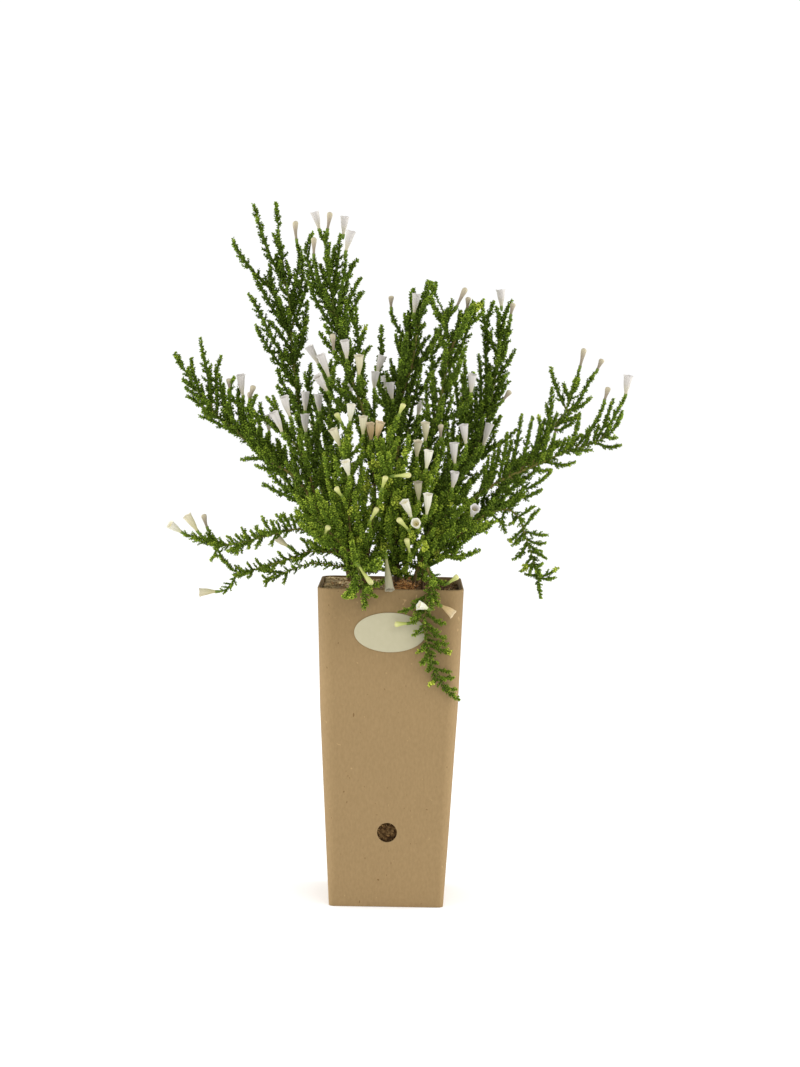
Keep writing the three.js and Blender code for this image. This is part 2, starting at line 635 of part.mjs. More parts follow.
// Grows one shoot to its tip. It ends in a point, in a calyx for a flower of its own, or in a bud or flower
// that is part of the spray. It says whether it found room.
function growShoot(name, tip, kind = "leaf", mouth = null) {
  const spray = grown[name];
  const head = mouth ? samples([tip, mouth], kind === "bud" ? room.bud : room.bloom, name + " head", 3) : [];
  if (crowded(head)) return false;
  for (const face of footings(spray, tip, mouth ? flowerAim : spray.aim)) {
    const ending = mouth ? mouth.clone().sub(tip).normalize() : blend(face.way, up, 0.3).normalize();
    const leaving = blend(blend(face.way, face.normal, 0.3), face.along, 0.2).normalize();
    const line = shootLine(face.centre, leaving, tip, ending);
    const mine = samples(line, room.shoot, name, room.freeFoot);
    if (crowded(mine)) continue;
    const total = lengths(line).at(-1);
    const neck = Math.min(twig.neck, total * 0.35);
    const leafyTo = mouth ? Math.max(total - 2, neck + 3) : total;
    const pitch = mouth ? twig.flowerPitch : twig.pitch;
    const stops = whorls(neck, leafyTo, pitch, () => twig.core, twig.reach);
    if (mouth) stops.push([total, calyx]);
    const rings = ringsOn(line, stops, twig.sides, face.start, mouth ? 0 : twig.twist);
    const side = rings.at(-1)[0].clone().sub(tip);
    const half = blend(side, rings.at(-1)[1].clone().sub(tip), 0.5);
    if (kind === "bud") rings.push(...ringsOn([tip, mouth], budStops(tip, mouth), twig.sides, half));
    if (kind === "fused") rings.push(...ringsOn([tip, mouth], bloomStops(tip, mouth), 2 * twig.sides, side));
    const point = { leaf: tip, bud: mouth }[kind] ?? null;
    if (sprout(spray.mesh, face.index, rings, point)) {
      taken.push(...mine, ...head);
      return true;
    }
  }
  return false;
}

// Growing: the wood first, then flowers and buds, then the tips seen, then more shoots all round

const grown = {};
const blooms = [];

for (const [name, spray] of Object.entries(sprays)) {
  const wood = [];
  for (const route of spray.routes) {
    const points = route.map((place) => placeOf(spray, place));
    const onStem = wood[0]?.reduce((a, b) => (b.distanceTo(points[0]) < a.distanceTo(points[0]) ? b : a));
    if (onStem) points[0] = onStem;
    wood.push(smoothLine(points));
  }
  const [stem, ...forks] = wood;
  const parts = [stemMesh(stem, spray.leafyFrom, woody.foot)];
  for (const fork of forks) parts.push(stemMesh(fork, 0.1, woody.fork));
  const aim = spray.aim ?? leafAim;
  grown[name] = { wood, aim, mesh: meshOf(wasm.Manifold.union(parts.map(solid))) };
  for (const line of wood) taken.push(...samples(line, room.bough, name, room.freeStem));
}

for (const [name, spray] of Object.entries(sprays)) {
  for (const places of spray.blooms) {
    const [foot, mouth] = places.map((place) => placeOf(spray, place));
    const own = blooms.length < ownBlooms;
    const kind = own ? "seated" : "fused";
    if (!growShoot(name, foot, kind, mouth)) throw new Error("no room for a bloom: " + name);
    if (own) blooms.push(loft(ringsOn([foot, mouth], bloomStops(foot, mouth), flower.sides)));
  }
  for (const places of spray.buds) {
    const [foot, tip] = places.map((place) => placeOf(spray, place));
    if (!growShoot(name, foot, "bud", tip)) throw new Error("no room for a bud: " + name);
  }
}

for (const [name, spray] of Object.entries(sprays)) {
  for (const place of spray.tips) growShoot(name, placeOf(spray, place));
}

// A shoot every so often along each stem, a golden angle round from the last, and further where that is full.
for (const [name, spray] of Object.entries(sprays)) {
  const draw = random(spray.seed);
  grown[name].wood.forEach((line, i) => {
    const run = lengths(line);
    const total = run.at(-1);
    let angle = draw() * 360;
    let s = (i ? 0.15 : spray.leafyFrom) * total;
    while (s < total * 0.93) {
      angle += filler.turn;
      const long = lerp(filler.length, filler.shortest, s / total) * (0.75 + 0.5 * draw());
      const { point, along } = pointAt(line, run, s);
      const side = V(0, 1, 0).addScaledVector(along, -along.y).normalize();
      const other = along.clone().cross(side);
      for (const turn of [0, 50, -50, 100]) {
        const a = degToRad(angle + turn);
        const lean = degToRad(filler.lean);
        const out = side.clone().multiplyScalar(Math.cos(a)).addScaledVector(other, Math.sin(a));
        const way = along.clone().multiplyScalar(Math.cos(lean)).addScaledVector(out, Math.sin(lean));
        way.addScaledVector(up, 0.25).normalize();
        if (growShoot(name, point.clone().addScaledVector(way, long))) break;
      }
      s += filler.spacing * (0.8 + 0.4 * draw());
    }
  });
}

// The pot and the soil

// A square with round corners, as points at one height, inset from the pot's outside.
function section(z, inset) {
  const half = widthAt(z) / 2 - inset;
  const radius = valueAt(pot.corners, z) - inset;
  const points = [];
  for (let corner = 0; corner < 4; corner++) {
    const turn = (corner * Math.PI) / 2;
    const middle = V(half - radius, half - radius, z).applyAxisAngle(up, turn);
    for (let k = 0; k <= pot.cornerSteps; k++) {
      const a = turn + (k * Math.PI) / 2 / pot.cornerSteps;
      points.push(V(Math.cos(a), Math.sin(a), 0).multiplyScalar(radius).add(middle));
    }
  }
  return points;
}
const heights = pot.widths.map(([z]) => z);
const waist = heights.at(-2);

// One board folded round to a taper and glued down the back, with a drain hole front and back.
function sleeve() {
  const past = 5;
  const outer = loft(heights.map((z) => section(z, 0)));
  const inner = loft(heights.map((z) => section(z, pot.wall)));
  for (const p of inner.points) {
    if (p.z === 0) p.z -= past;
    if (p.z === pot.height) p.z += past;
  }
  const overlap = heights.map((z) => {
    const y = widthAt(z) / 2;
    const x = -y + valueAt(pot.corners, z) + seam.inset;
    const [inside, outside] = [y - pot.wall / 2, y + seam.thick];
    return [V(x, inside, z), V(x + seam.width, inside, z), V(x + seam.width, outside, z), V(x, outside, z)];
  });
  const hole = new THREE.CylinderGeometry(drain.radius, drain.radius, pot.height, drain.sides);
  hole.translate(0, 0, drain.height);
  return meshOf(solid(outer).add(solid(loft(overlap))).subtract(solid(inner)).subtract(solidOf(hole)));
}

function floorPlate() {
  const inset = pot.wall + gap;
  return loft([section(0, inset), section(floor.thick, inset)]);
}

// It fills the pot and swells a little towards the middle, with a plain hole for each stem.
function soilBody() {
  const inset = pot.wall + gap;
  const rim = section(soil.top, inset);
  const rings = [floor.thick + gap, ...heights.slice(1, -1)].map((z) => section(z, inset));
  rings.push(rim);
  for (let k = 1; k <= soil.rings; k++) {
    const share = 1 - k / (soil.rings + 0.6);
    const swell = soil.lump * (1 - share * 0.4);
    rings.push(rim.map(({ x, y }) => {
      const lump = Math.sin((x * 0.31 + y * 0.12) * share) * Math.cos((y * 0.27 - x * 0.09) * share);
      return V(x * share, y * share, soil.top + swell * (0.5 + 0.5 * lump));
    }));
  }
  const holes = Object.entries(sprays).map(([name, spray]) => stemHole(grown[name].wood[0], spray.leafyFrom));
  return meshOf(solid(loft(rings)).subtract(wasm.Manifold.union(holes)));
}

function labelPlate() {
  const oval = new THREE.CylinderGeometry(label.width / 2, label.width / 2, label.thick, label.sides);
  oval.scale(1, 1, label.height / label.width);
  oval.rotateX(Math.atan2((widthAt(pot.height) - widthAt(waist)) / 2, pot.height - waist));
  oval.translate(0, -widthAt(label.centre) / 2 - gap - label.thick / 2, label.centre);
  return meshOf(solidOf(oval));
}

// Pieces

const finish = {
  board: new THREE.MeshStandardMaterial({ color: 0xa98c61, roughness: 0.85, metalness: 0 }),
  paper: new THREE.MeshStandardMaterial({ color: 0xd2caa0, roughness: 0.6, metalness: 0 }),
  soil: new THREE.MeshStandardMaterial({ color: 0x4a3423, roughness: 0.95, metalness: 0 }),
  leaf: new THREE.MeshStandardMaterial({ color: 0x4a701e, roughness: 0.6, metalness: 0 }),
  bloom: new THREE.MeshStandardMaterial({ color: 0xe6e0dc, roughness: 0.5, metalness: 0 }),
};
const object = new THREE.Group();
function add(name, mesh, material) {
  const piece = new THREE.Mesh(geometryOf(mesh), material);
  piece.name = name;
  object.add(piece);
}

add("pot_sleeve", sleeve(), finish.board);
add("pot_floor", floorPlate(), finish.board);
add("pot_label", labelPlate(), finish.paper);
add("soil", soilBody(), finish.soil);
for (const name of Object.keys(sprays)) add("spray_" + name, grown[name].mesh, finish.leaf);
blooms.forEach((mesh, i) => add("bloom_" + String(i + 1).padStart(2, "0"), mesh, finish.bloom));

export default object;
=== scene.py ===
# A potted false heath in flower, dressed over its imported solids.
# Lengths are in millimetres here, and a mesh is turned to metres when it is made.
import math
import bpy
import numpy as np
from mathutils import Matrix, Vector, noise as hills


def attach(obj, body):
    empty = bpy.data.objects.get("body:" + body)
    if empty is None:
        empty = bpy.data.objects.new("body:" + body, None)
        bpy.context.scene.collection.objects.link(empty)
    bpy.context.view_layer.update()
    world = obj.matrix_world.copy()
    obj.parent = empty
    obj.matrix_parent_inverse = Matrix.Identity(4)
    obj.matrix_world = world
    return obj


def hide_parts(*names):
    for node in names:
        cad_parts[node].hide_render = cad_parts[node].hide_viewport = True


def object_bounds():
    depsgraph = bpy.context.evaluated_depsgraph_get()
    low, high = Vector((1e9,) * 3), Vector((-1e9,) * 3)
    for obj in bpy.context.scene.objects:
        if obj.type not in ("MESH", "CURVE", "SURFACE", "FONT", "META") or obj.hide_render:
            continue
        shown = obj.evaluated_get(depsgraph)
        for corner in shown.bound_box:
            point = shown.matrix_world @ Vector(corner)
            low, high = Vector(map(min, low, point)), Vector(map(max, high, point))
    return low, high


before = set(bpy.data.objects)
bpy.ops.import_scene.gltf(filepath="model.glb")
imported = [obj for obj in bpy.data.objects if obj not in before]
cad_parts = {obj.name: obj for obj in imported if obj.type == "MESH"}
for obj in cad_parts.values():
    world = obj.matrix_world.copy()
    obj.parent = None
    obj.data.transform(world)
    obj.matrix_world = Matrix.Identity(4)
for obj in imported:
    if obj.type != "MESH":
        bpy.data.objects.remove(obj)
cadLow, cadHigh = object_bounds()
mm = 0.001
boxLow, boxHigh = np.array(cadLow) / mm, np.array(cadHigh) / mm
print("frame:", len(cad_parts), "solids")


# Small maths

def unit(v):
    v = np.asarray(v, float)
    return v / np.maximum(np.linalg.norm(v, axis=-1, keepdims=True), 1e-9)


def mix(a, b, share):
    return a + (b - a) * share


def squareTo(along, v):  # the direction nearest to v that is square to along
    return unit(v - along * (v * along).sum(-1, keepdims=True))


def smooth(low, high, v):  # 0 below low, 1 above high, and an even swing between
    t = np.clip((v - low) / (high - low), 0, 1)
    return t * t * (3 - 2 * t)


def drawsFrom(seed):  # the same draws each time, from 0 to 1
    state = seed

    def draw():
        nonlocal state
        state = (state + 0x6d2b79f5) & 0xffffffff
        t = ((state ^ (state >> 15)) * (1 | state)) & 0xffffffff
        t = ((t + (((t ^ (t >> 7)) * (61 | t)) & 0xffffffff)) & 0xffffffff) ^ t
        return (t ^ (t >> 14)) / 4294967296
    return draw


# Meshes: a shape is (points, triangles, uv), and shapes are heaped into one piece

plainUv = np.array([0.5, 0.5])  # for pieces whose finish doesn't read it


def heap(shapes):
    points, faces, uv, count = [], [], [], 0
    for p, f, t in shapes:
        points.append(p.reshape(-1, 3))
        faces.append(f.reshape(-1, 3) + count)
        uv.append(np.broadcast_to(t, p.shape[:-1] + (2,)).reshape(-1, 2))
        count += len(points[-1])
    return np.concatenate(points), np.concatenate(faces), np.concatenate(uv)


def makePiece(name, shapes, material, nodes, uvName="OFBake"):
    points, faces, uv = heap(shapes)
    points = np.clip(points, boxLow, boxHigh)  # nothing reaches past the solids
    mesh = bpy.data.meshes.new(name)
    mesh.vertices.add(len(points))
    mesh.vertices.foreach_set("co", (points * mm).astype(np.float32).ravel())
    mesh.loops.add(faces.size)
    mesh.loops.foreach_set("vertex_index", faces.astype(np.int32).ravel())
    mesh.polygons.add(len(faces))
    mesh.polygons.foreach_set("loop_start", np.arange(0, faces.size, 3, dtype=np.int32))
    mesh.update(calc_edges=True)
    mesh.shade_smooth()
    if uvName:
        layer = mesh.uv_layers.new(name=uvName)
        layer.data.foreach_set("uv", uv[faces.ravel()].astype(np.float32).ravel())
    mesh.materials.append(material)
    piece = bpy.data.objects.new(name, mesh)
    bpy.context.scene.collection.objects.link(piece)
    return seat(piece, nodes)


def seat(piece, nodes):
    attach(piece, "root")
    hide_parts(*nodes)
    return piece


def sidesOf(lines):  # a frame that follows each line without twisting
    along = unit(np.gradient(lines, axis=1))
    start = np.where(np.abs(along[:, :1, 1:2]) < 0.9, [[[0, 1, 0]]], [[[1, 0, 0]]])
    side = [squareTo(along[:, 0], start[:, 0])]
    for i in range(1, lines.shape[1]):
        side.append(squareTo(along[:, i], side[-1]))
    side = np.stack(side, 1)
    return side, np.cross(along, side)


# Closed tubes round many lines at once: lines is (m, n, 3), radii (m, n). The last point is a tip.
def tubes(lines, radii, sides, uv, ribs=None):
    m, n = lines.shape[:2]
    side, other = sidesOf(lines)
    a = np.arange(sides) * 2 * math.pi / sides
    spread = radii[:, :-1, None] * (np.ones(sides) if ribs is None else ribs)
    ring = side[:, :-1, None] * np.cos(a)[:, None] + other[:, :-1, None] * np.sin(a)[:, None]
    rings = lines[:, :-1, None] + ring * spread[..., None]
    points = np.concatenate([rings.reshape(m, -1, 3), lines[:, :1], lines[:, -1:]], 1)
    j, k = np.arange(sides), (np.arange(sides) + 1) % sides
    faces = []
    for i in range(n - 2):
        low, high = i * sides, (i + 1) * sides
        faces += [np.stack([low + j, low + k, high + k], -1), np.stack([low + j, high + k, high + j], -1)]
    last, foot, tip = (n - 2) * sides, (n - 1) * sides, (n - 1) * sides + 1
    faces.append(np.stack([k, j, np.full(sides, foot)], -1))
    faces.append(np.stack([last + j, last + k, np.full(sides, tip)], -1))
    faces = np.concatenate(faces)
    offset = np.arange(m)[:, None, None] * points.shape[1]
    uv = np.broadcast_to(uv, (m, n, 2))
    ringUv = np.repeat(uv[:, :-1], sides, axis=1)
    return points, (faces + offset).reshape(-1, 3), np.concatenate([ringUv, uv[:, :1], uv[:, -1:]], 1)


# A turned shape: rings of (distance, radius) round the line from foot to tip. A radius of 0 is a point.
def turned(foot, tip, profile, sides, shapeRing=None, bend=0.0):
    along = unit(tip - foot)
    side = squareTo(along, np.array([0.0, 0, 1]) if abs(along[2]) < 0.9 else np.array([1.0, 0, 0]))
    other = np.cross(along, side)
    length = np.linalg.norm(tip - foot)
    a = np.arange(sides) * 2 * math.pi / sides
    points, uv, rows = [], [], []
    for k, (s, r) in enumerate(profile):
        sway = side * bend * (s / length) * (1 - s / length) * 4
        lift, swell = shapeRing(a, k) if shapeRing else (0 * a, 0 * a + 1)
        centre = foot + sway + along * s
        rows.append(len(points))
        if r == 0:
            points.append(centre)
            uv.append((0.5, k / (len(profile) - 1)))
            continue
        for j in range(sides):
            out = side * math.cos(a[j]) + other * math.sin(a[j])
            points.append(centre + out * r * swell[j] + along * lift[j])
            uv.append((abs((j / sides * 2 + 1) % 2 - 1), k / (len(profile) - 1)))
    faces = []
    for k in range(len(profile) - 1):
        low, high = rows[k], rows[k + 1]
        for j in range(sides):
            i = (j + 1) % sides
            if profile[k][1] == 0:
                faces.append((low, high + i, high + j))
            elif profile[k + 1][1] == 0:
                faces.append((low + j, low + i, high))
            else:
                faces += [(low + j, low + i, high + i), (low + j, high + i, high + j)]
    return np.array(points), np.array(faces), np.array(uv)


# Materials

def newMaterial(name, roughness, specular=0.5):
    material = bpy.data.materials.new(name)
    material.use_nodes = True
    shader = material.node_tree.nodes["Principled BSDF"]
    shader.inputs["Roughness"].default_value = roughness
    shader.inputs["Specular IOR Level"].default_value = specular
    return material, material.node_tree, shader


def node(tree, kind, inputs=None, **settings):
    made = tree.nodes.new("ShaderNode" + kind)
    for key, value in settings.items():
        setattr(made, key, value)
    for key, value in (inputs or {}).items():
        made.inputs[key].default_value = value
    return made


def ramp(tree, source, stops):
    made = node(tree, "ValToRGB")
    bar = made.color_ramp.elements
    while len(bar) < len(stops):
        bar.new(0.5)
    for stop, (place, colour) in zip(bar, stops):
        stop.position = place
        stop.color = (*colour, 1)
    tree.links.new(source, made.inputs[0])
    return made.outputs[0]


def mixed(tree, kind, factor, a, b):
    made = node(tree, "Mix", data_type="RGBA", blend_type=kind)
    for socket, value in ((made.inputs[0], factor), (made.inputs[6], a), (made.inputs[7], b)):
        if isinstance(value, bpy.types.NodeSocket):
            tree.links.new(value, socket)
        else:
            socket.default_value = value if isinstance(value, float) else (*value, 1)
    return made.outputs[2]


def uvOf(tree):
    split = node(tree, "SeparateXYZ")
    tree.links.new(node(tree, "UVMap", uv_map="OFBake").outputs[0], split.inputs[0])
    return split.outputs[0], split.outputs[1]


def noise(tree, scale, detail=3.0, stretch=None, distortion=0.0):
    coords = node(tree, "TexCoord").outputs["Object"]
    if stretch:
        mapping = node(tree, "Mapping", {"Scale": stretch})
        tree.links.new(coords, mapping.inputs[0])
        coords = mapping.outputs[0]
    made = node(tree, "TexNoise", {"Scale": scale, "Detail": detail, "Distortion": distortion})
    tree.links.new(coords, made.inputs["Vector"])
    return made.outputs["Fac"]


def bumped(tree, shader, height, strength, distance):
    made = node(tree, "Bump", {"Strength": strength, "Distance": distance})
    tree.links.new(height, made.inputs["Height"])
    tree.links.new(made.outputs[0], shader.inputs["Normal"])


# Plant finishes read only the uv: u runs from old to young, or round a flower, and v from dark to bright,
# or from foot to mouth.
def uvFinish(name, stops, shades, roughness, specular=0.5, across=False):
    material, tree, shader = newMaterial(name, roughness, specular)
    u, v = uvOf(tree)
    main, second = (v, u) if across else (u, v)
    colour = mixed(tree, "MULTIPLY", 1.0, ramp(tree, main, stops), ramp(tree, second, shades))
    tree.links.new(colour, shader.inputs["Base Color"])
    return material


# The pot

pot = {
    "height": 240, "wall": 2, "widths": [(0, 85.8), (40, 90.8), (150, 102.8), (240, 108.7)],
    "corners": [(0, 4), (40, 8), (150, 11), (240, 12)], "cornerSteps": 10, "sideSteps": 24,
    "levelStep": 5, "wobble": 0.15, "drainHeight": 57, "drainRadius": 7.4,
    "rimCut": 239.3, "footCut": 0.1, "seamWidth": 20, "seamThick": 0.8, "seamInset": 6,
    "tint": (0.29, 0.194, 0.088), "cutShade": 0.8,
}
soil = {"top": 234, "lump": 2, "gap": 0.3}
label = {
    "width": 53, "height": 29.5, "centre": 208, "thick": 0.5, "sides": 72,
    "paper": ((0.41, 0.375, 0.242), (0.455, 0.42, 0.282)),
}


def valueAt(stops, z):
    return np.interp(z, [s[0] for s in stops], [s[1] for s in stops])


def widthAt(z):
    return valueAt(pot["widths"], z)


def section(z, inset):  # a square with round corners, as points at one height
    corners, sides = pot["cornerSteps"], pot["sideSteps"]
    half = widthAt(z) / 2 - inset
    radius = valueAt(pot["corners"], z) - inset

    def turned90(x, y, times):
        c, s = math.cos(times * math.pi / 2), math.sin(times * math.pi / 2)
        return np.array([x * c - y * s, x * s + y * c, z])

    points = []
    for corner in range(4):
        for k in range(corners + 1):
            a = k * math.pi / 2 / corners
            x, y = half - radius + radius * math.cos(a), half - radius + radius * math.sin(a)
            points.append(turned90(x, y, corner))
        end, start = points[-1], turned90(-(half - radius), half, corner)
        points += [mix(end, start, k / sides) for k in range(1, sides)]
    return np.array(points)


def boardWobble(points):  # the board is never quite flat: it gives inwards a little
    x, y, z = points.T
    wave = np.sin(z * 0.021 + x * 0.03 + 1.3) * np.cos(y * 0.027 + z * 0.034) * 0.5 + 0.5
    return wave * pot["wobble"]


def bridged(rings, closed=False):  # triangles between rings of the same count
    n, m = len(rings), len(rings[0])
    j, k = np.arange(m), (np.arange(m) + 1) % m
    faces = []
    for i in range(n if closed else n - 1):
        low, high = i * m, ((i + 1) % n) * m
        faces += [np.stack([low + j, low + k, high + k], -1), np.stack([low + j, high + k, high + j], -1)]
    return np.concatenate(faces)


def closedOff(rings):  # the same, with a fan over both ends
    m = len(rings[0])
    last = (len(rings) - 1) * m
    fans = [(0, j + 1, j) for j in range(1, m - 1)]
    fans += [(last, last + j, last + j + 1) for j in range(1, m - 1)]
    return np.concatenate([bridged(rings), fans])


def sleeveShape():
    top, wall = pot["height"], pot["wall"]
    walls = list(np.arange(4, top - 2, pot["levelStep"]))
    outside = [(0, 0.5), (0.15, 0.15), (0.6, 0)] + [(z, 0) for z in walls]
    rim = [(top - 0.8, 0), (top - 0.25, 0.12), (top - 0.02, 0.5), (top, 1), (top - 0.02, 1.5),
           (top - 0.25, 1.88), (top - 0.8, wall)]
    inside = [(z, wall) for z in reversed(walls)] + [(0.6, wall), (0.15, 1.85), (0, 1.5)]
    rings = []
    for z, inset in outside + rim + inside:
        ring = section(z, inset)
        centre = np.array([0, 0, z])
        give = boardWobble(ring)[:, None] * smooth(0, 20, z)
        ring = ring - unit(ring - centre) * [1, 1, 0] * give
        rings.append(ring)
    return np.concatenate(rings), bridged(rings, closed=True), plainUv


def boardMaterial(name, tint):
    material, tree, shader = newMaterial(name, 0.75, 0.3)
    base = mixed(tree, "MIX", noise(tree, 11, 4), [c * 0.96 for c in tint], [c * 1.04 for c in tint])
    fibres = ramp(tree, noise(tree, 620, 4, (1, 1, 0.5)),
                  [(0.3, (0.93, 0.92, 0.9)), (0.7, (1.05, 1.05, 1.05))])
    base = mixed(tree, "MULTIPLY", 1.0, base, fibres)
    # Painted shade: the board darkens towards the rim, for the shade that the overhanging foliage casts there.
    height = node(tree, "SeparateXYZ")
    tree.links.new(node(tree, "TexCoord").outputs["Object"], height.inputs[0])
    rimShade = node(tree, "MapRange", {"From Min": 0.17, "From Max": 0.241})
    tree.links.new(height.outputs[2], rimShade.inputs["Value"])
    rimShadeTint = ramp(tree, rimShade.outputs[0], [(0, (1, 1, 1)), (1, (0.8, 0.79, 0.74))])
    base = mixed(tree, "MULTIPLY", 1.0, base, rimShadeTint)
    dark = ramp(tree, noise(tree, 430, 1, (1, 0.8, 0.6), 0.4), [(0.755, (1, 1, 1)), (0.79, (0.6, 0.5, 0.4))])
    base = mixed(tree, "MULTIPLY", 1.0, base, dark)
    pale = ramp(tree, noise(tree, 290, 1, (1, 1, 0.7), 0.8), [(0.74, (0, 0, 0)), (0.79, (1, 1, 1))])
    base = mixed(tree, "MIX", pale, base, [min(1, c * 1.3) for c in tint])
    tree.links.new(base, shader.inputs["Base Color"])
    bumped(tree, shader, noise(tree, 700, 4), 0.18, 0.0003)
    return material


def edgeFinish(tint):  # the cut edge of the board shows its layers
    material, tree, shader = newMaterial("boardCutEdge", 0.9, 0.15)
    layers = ramp(tree, noise(tree, 1600, 2, (1, 1, 0.1)),
                  [(0.3, [c * 0.62 for c in tint]), (0.7, [c * 1.1 for c in tint])])
    tree.links.new(layers, shader.inputs["Base Color"])
    bumped(tree, shader, noise(tree, 1500, 3), 0.5, 0.0005)
    return material


board = boardMaterial("kraftBoard", pot["tint"])
boardEdge = edgeFinish([c * pot["cutShade"] for c in pot["tint"]])


def paperFinish():
    material, tree, shader = newMaterial("ivoryPaper", 0.5, 0.4)
    tree.links.new(mixed(tree, "MIX", noise(tree, 240, 4), *label["paper"]), shader.inputs["Base Color"])
    bumped(tree, shader, noise(tree, 900, 3), 0.12, 0.0003)
    return material


def makeSleeve():
    sleeve = makePiece("pot_board", [sleeveShape()], board, ["pot_sleeve"], uvName=None)
    bpy.ops.mesh.primitive_cylinder_add(vertices=64, radius=pot["drainRadius"] * mm, depth=pot["height"] * mm,
        location=(0, 0, pot["drainHeight"] * mm), rotation=(math.pi / 2, 0, 0))
    cutter = bpy.context.object
    cut = sleeve.modifiers.new("drain", "BOOLEAN")
    cut.object, cut.solver = cutter, "EXACT"
    cutMesh = bpy.data.meshes.new_from_object(sleeve.evaluated_get(bpy.context.evaluated_depsgraph_get()))
    sleeve.modifiers.clear()
    sleeve.data = cutMesh
    bpy.data.objects.remove(cutter)
    sleeve.data.materials.clear()
    sleeve.data.materials.append(board)
    sleeve.data.materials.append(boardEdge)
    for face in sleeve.data.polygons:
        x, y, z = face.center
        ring = math.hypot(x, z - pot["drainHeight"] * mm) < (pot["drainRadius"] + 0.05) * mm
        cut = z > pot["rimCut"] * mm or z < pot["footCut"] * mm or ring
        face.material_index = 1 if cut else 0
    sleeve.data.set_sharp_from_angle(angle=math.radians(40))


def seamShape():  # the glued overlap down the back, whose free edge shows
    heights = np.linspace(0.5, pot["height"] - 0.5, 60)
    rings = []
    for z in heights:
        y = widthAt(z) / 2
        x = -y + valueAt(pot["corners"], z) + pot["seamInset"]
        w, t = pot["seamWidth"], pot["seamThick"]
        edge = 0.12 * math.sin(z * 0.31) + 0.08 * math.sin(z * 0.83)
        ring = [(x, y - 0.6), (x, y + t * 0.5), (x + 0.3, y + t * 0.85), (x + w * 0.5, y + t * 0.96),
                (x + w - 0.35 + edge, y + t), (x + w + edge, y + t * 0.8), (x + w + edge, y - 0.6)]
        rings.append(np.array([(px, py, z) for px, py in reversed(ring)]))
    return np.concatenate(rings), closedOff(rings), plainUv


def labelShape():
    lean = math.atan2((widthAt(240) - widthAt(150)) / 2, 90)  # as the front face leans out there
    a = -np.arange(label["sides"]) * 2 * math.pi / label["sides"]
    t = label["thick"]
    edge = [(0.001, 0), (0.97, 0), (0.995, 0.12), (1, 0.3), (0.995, 0.43), (0.975, t), (0.6, t), (0.001, t)]
    rings = []
    for share, out in edge:
        x = np.cos(a) * label["width"] / 2 * share
        up = np.sin(a) * label["height"] / 2 * share
        y = -widthAt(label["centre"]) / 2 - 0.3 - out * math.cos(lean) - up * math.sin(lean)
        rings.append(np.stack([x, y, label["centre"] + up * math.cos(lean) - out * math.sin(lean)], -1))
    return np.concatenate(rings), bridged(rings), plainUv


# Soil: a lumpy body that fills the pot, with loose crumbs and fibres on top and behind the drain holes

soilLook = {
    "bottom": 2.8, "levelStep": 3, "rings": 34, "grain": 1.1, "lump": 1.6, "rise": (-0.026, 0.05),
    "crumbs": 1300, "crumbSizes": (0.45, 1.6), "drainCrumbs": 260, "drainSizes": (0.5, 1.3), "fibres": 150,
    "clump": (10, -35, 239.5), "clumpSize": (8.5, 7, 5.4), "clumpCrumbs": 150, "clumpFibres": 110,
}


def grainAt(points, scale):  # a soft noise from -1 to 1, the same at each run
    return np.array([hills.noise(Vector(p * scale)) for p in points])


def soilTop(x, y):
    swell = np.sin(x * 0.11 + 0.6) * np.cos(y * 0.13 - 0.4) + 0.6 * np.sin(x * 0.29 + y * 0.21)
    rise = soilLook["rise"]
    return np.minimum(soil["top"] + soilLook["lump"] * (0.5 + 0.5 * swell) + x * rise[0] + y * rise[1], 239)


def soilShape():
    inset = pot["wall"] + soil["gap"] + 0.3
    rings = []
    for z in np.arange(soilLook["bottom"], soil["top"] - 1, soilLook["levelStep"]):
        ring = section(z, inset)
        rough = grainAt(ring, 0.45)[:, None] * 0.5 + 0.5
        rings.append(ring - unit(ring - [0, 0, z]) * rough * soilLook["grain"])
    rim = section(soil["top"], inset)
    for k in range(soilLook["rings"] + 1):
        share = 1 - k / (soilLook["rings"] + 0.5)
        ring = rim * [share, share, 1]
        rough = grainAt(ring, 0.55) * soilLook["grain"] * min(1, k / 2 + 0.3)
        ring[:, 2] = soilTop(ring[:, 0], ring[:, 1]) + rough
        rings.append(ring)
    return np.concatenate(rings), closedOff(rings), plainUv


def ballShape():  # a ball with 12 corners
    g = (1 + math.sqrt(5)) / 2
    points = []
    for a in (-1, 1):
        for b in (-g, g):
            points += [(0, a, b), (a, b, 0), (b, 0, a)]
    points = unit(np.array(points, float))
    faces = []
    for i in range(12):
        for j in range(i + 1, 12):
            for k in range(j + 1, 12):
                trio = points[[i, j, k]]
                if all(np.linalg.norm(trio[a] - trio[b]) < 1.1 for a, b in ((0, 1), (1, 2), (2, 0))):
                    way = np.dot(np.cross(trio[1] - trio[0], trio[2] - trio[0]), trio.mean(0))
                    faces.append((i, j, k) if way > 0 else (i, k, j))
    return points, np.array(faces)


def crumbShapes(rng, places, low, high):
    ball, faces = ballShape()
    n = len(places)
    size = mix(low, high, rng.random((n, 1, 1)) ** 2.2)
    squash = rng.uniform(0.45, 1.0, (n, 1, 3))
    lumps = rng.uniform(0.7, 1.15, (n, len(ball), 1))
    turn = unit(rng.normal(size=(n, 3, 3)))
    points = np.einsum("nij,njk->nik", ball * squash * lumps * size, turn) + places[:, None]
    tone = rng.random((n, 1, 2))
    dry = smooth(6, -14, places[:, 0])
    tone[:, 0, 0] = mix(tone[:, 0, 0], 0.8 + 0.2 * tone[:, 0, 0], dry)
    offset = np.arange(n)[:, None, None] * len(ball)
    return points, faces + offset, np.broadcast_to(tone, (n, len(ball), 2))


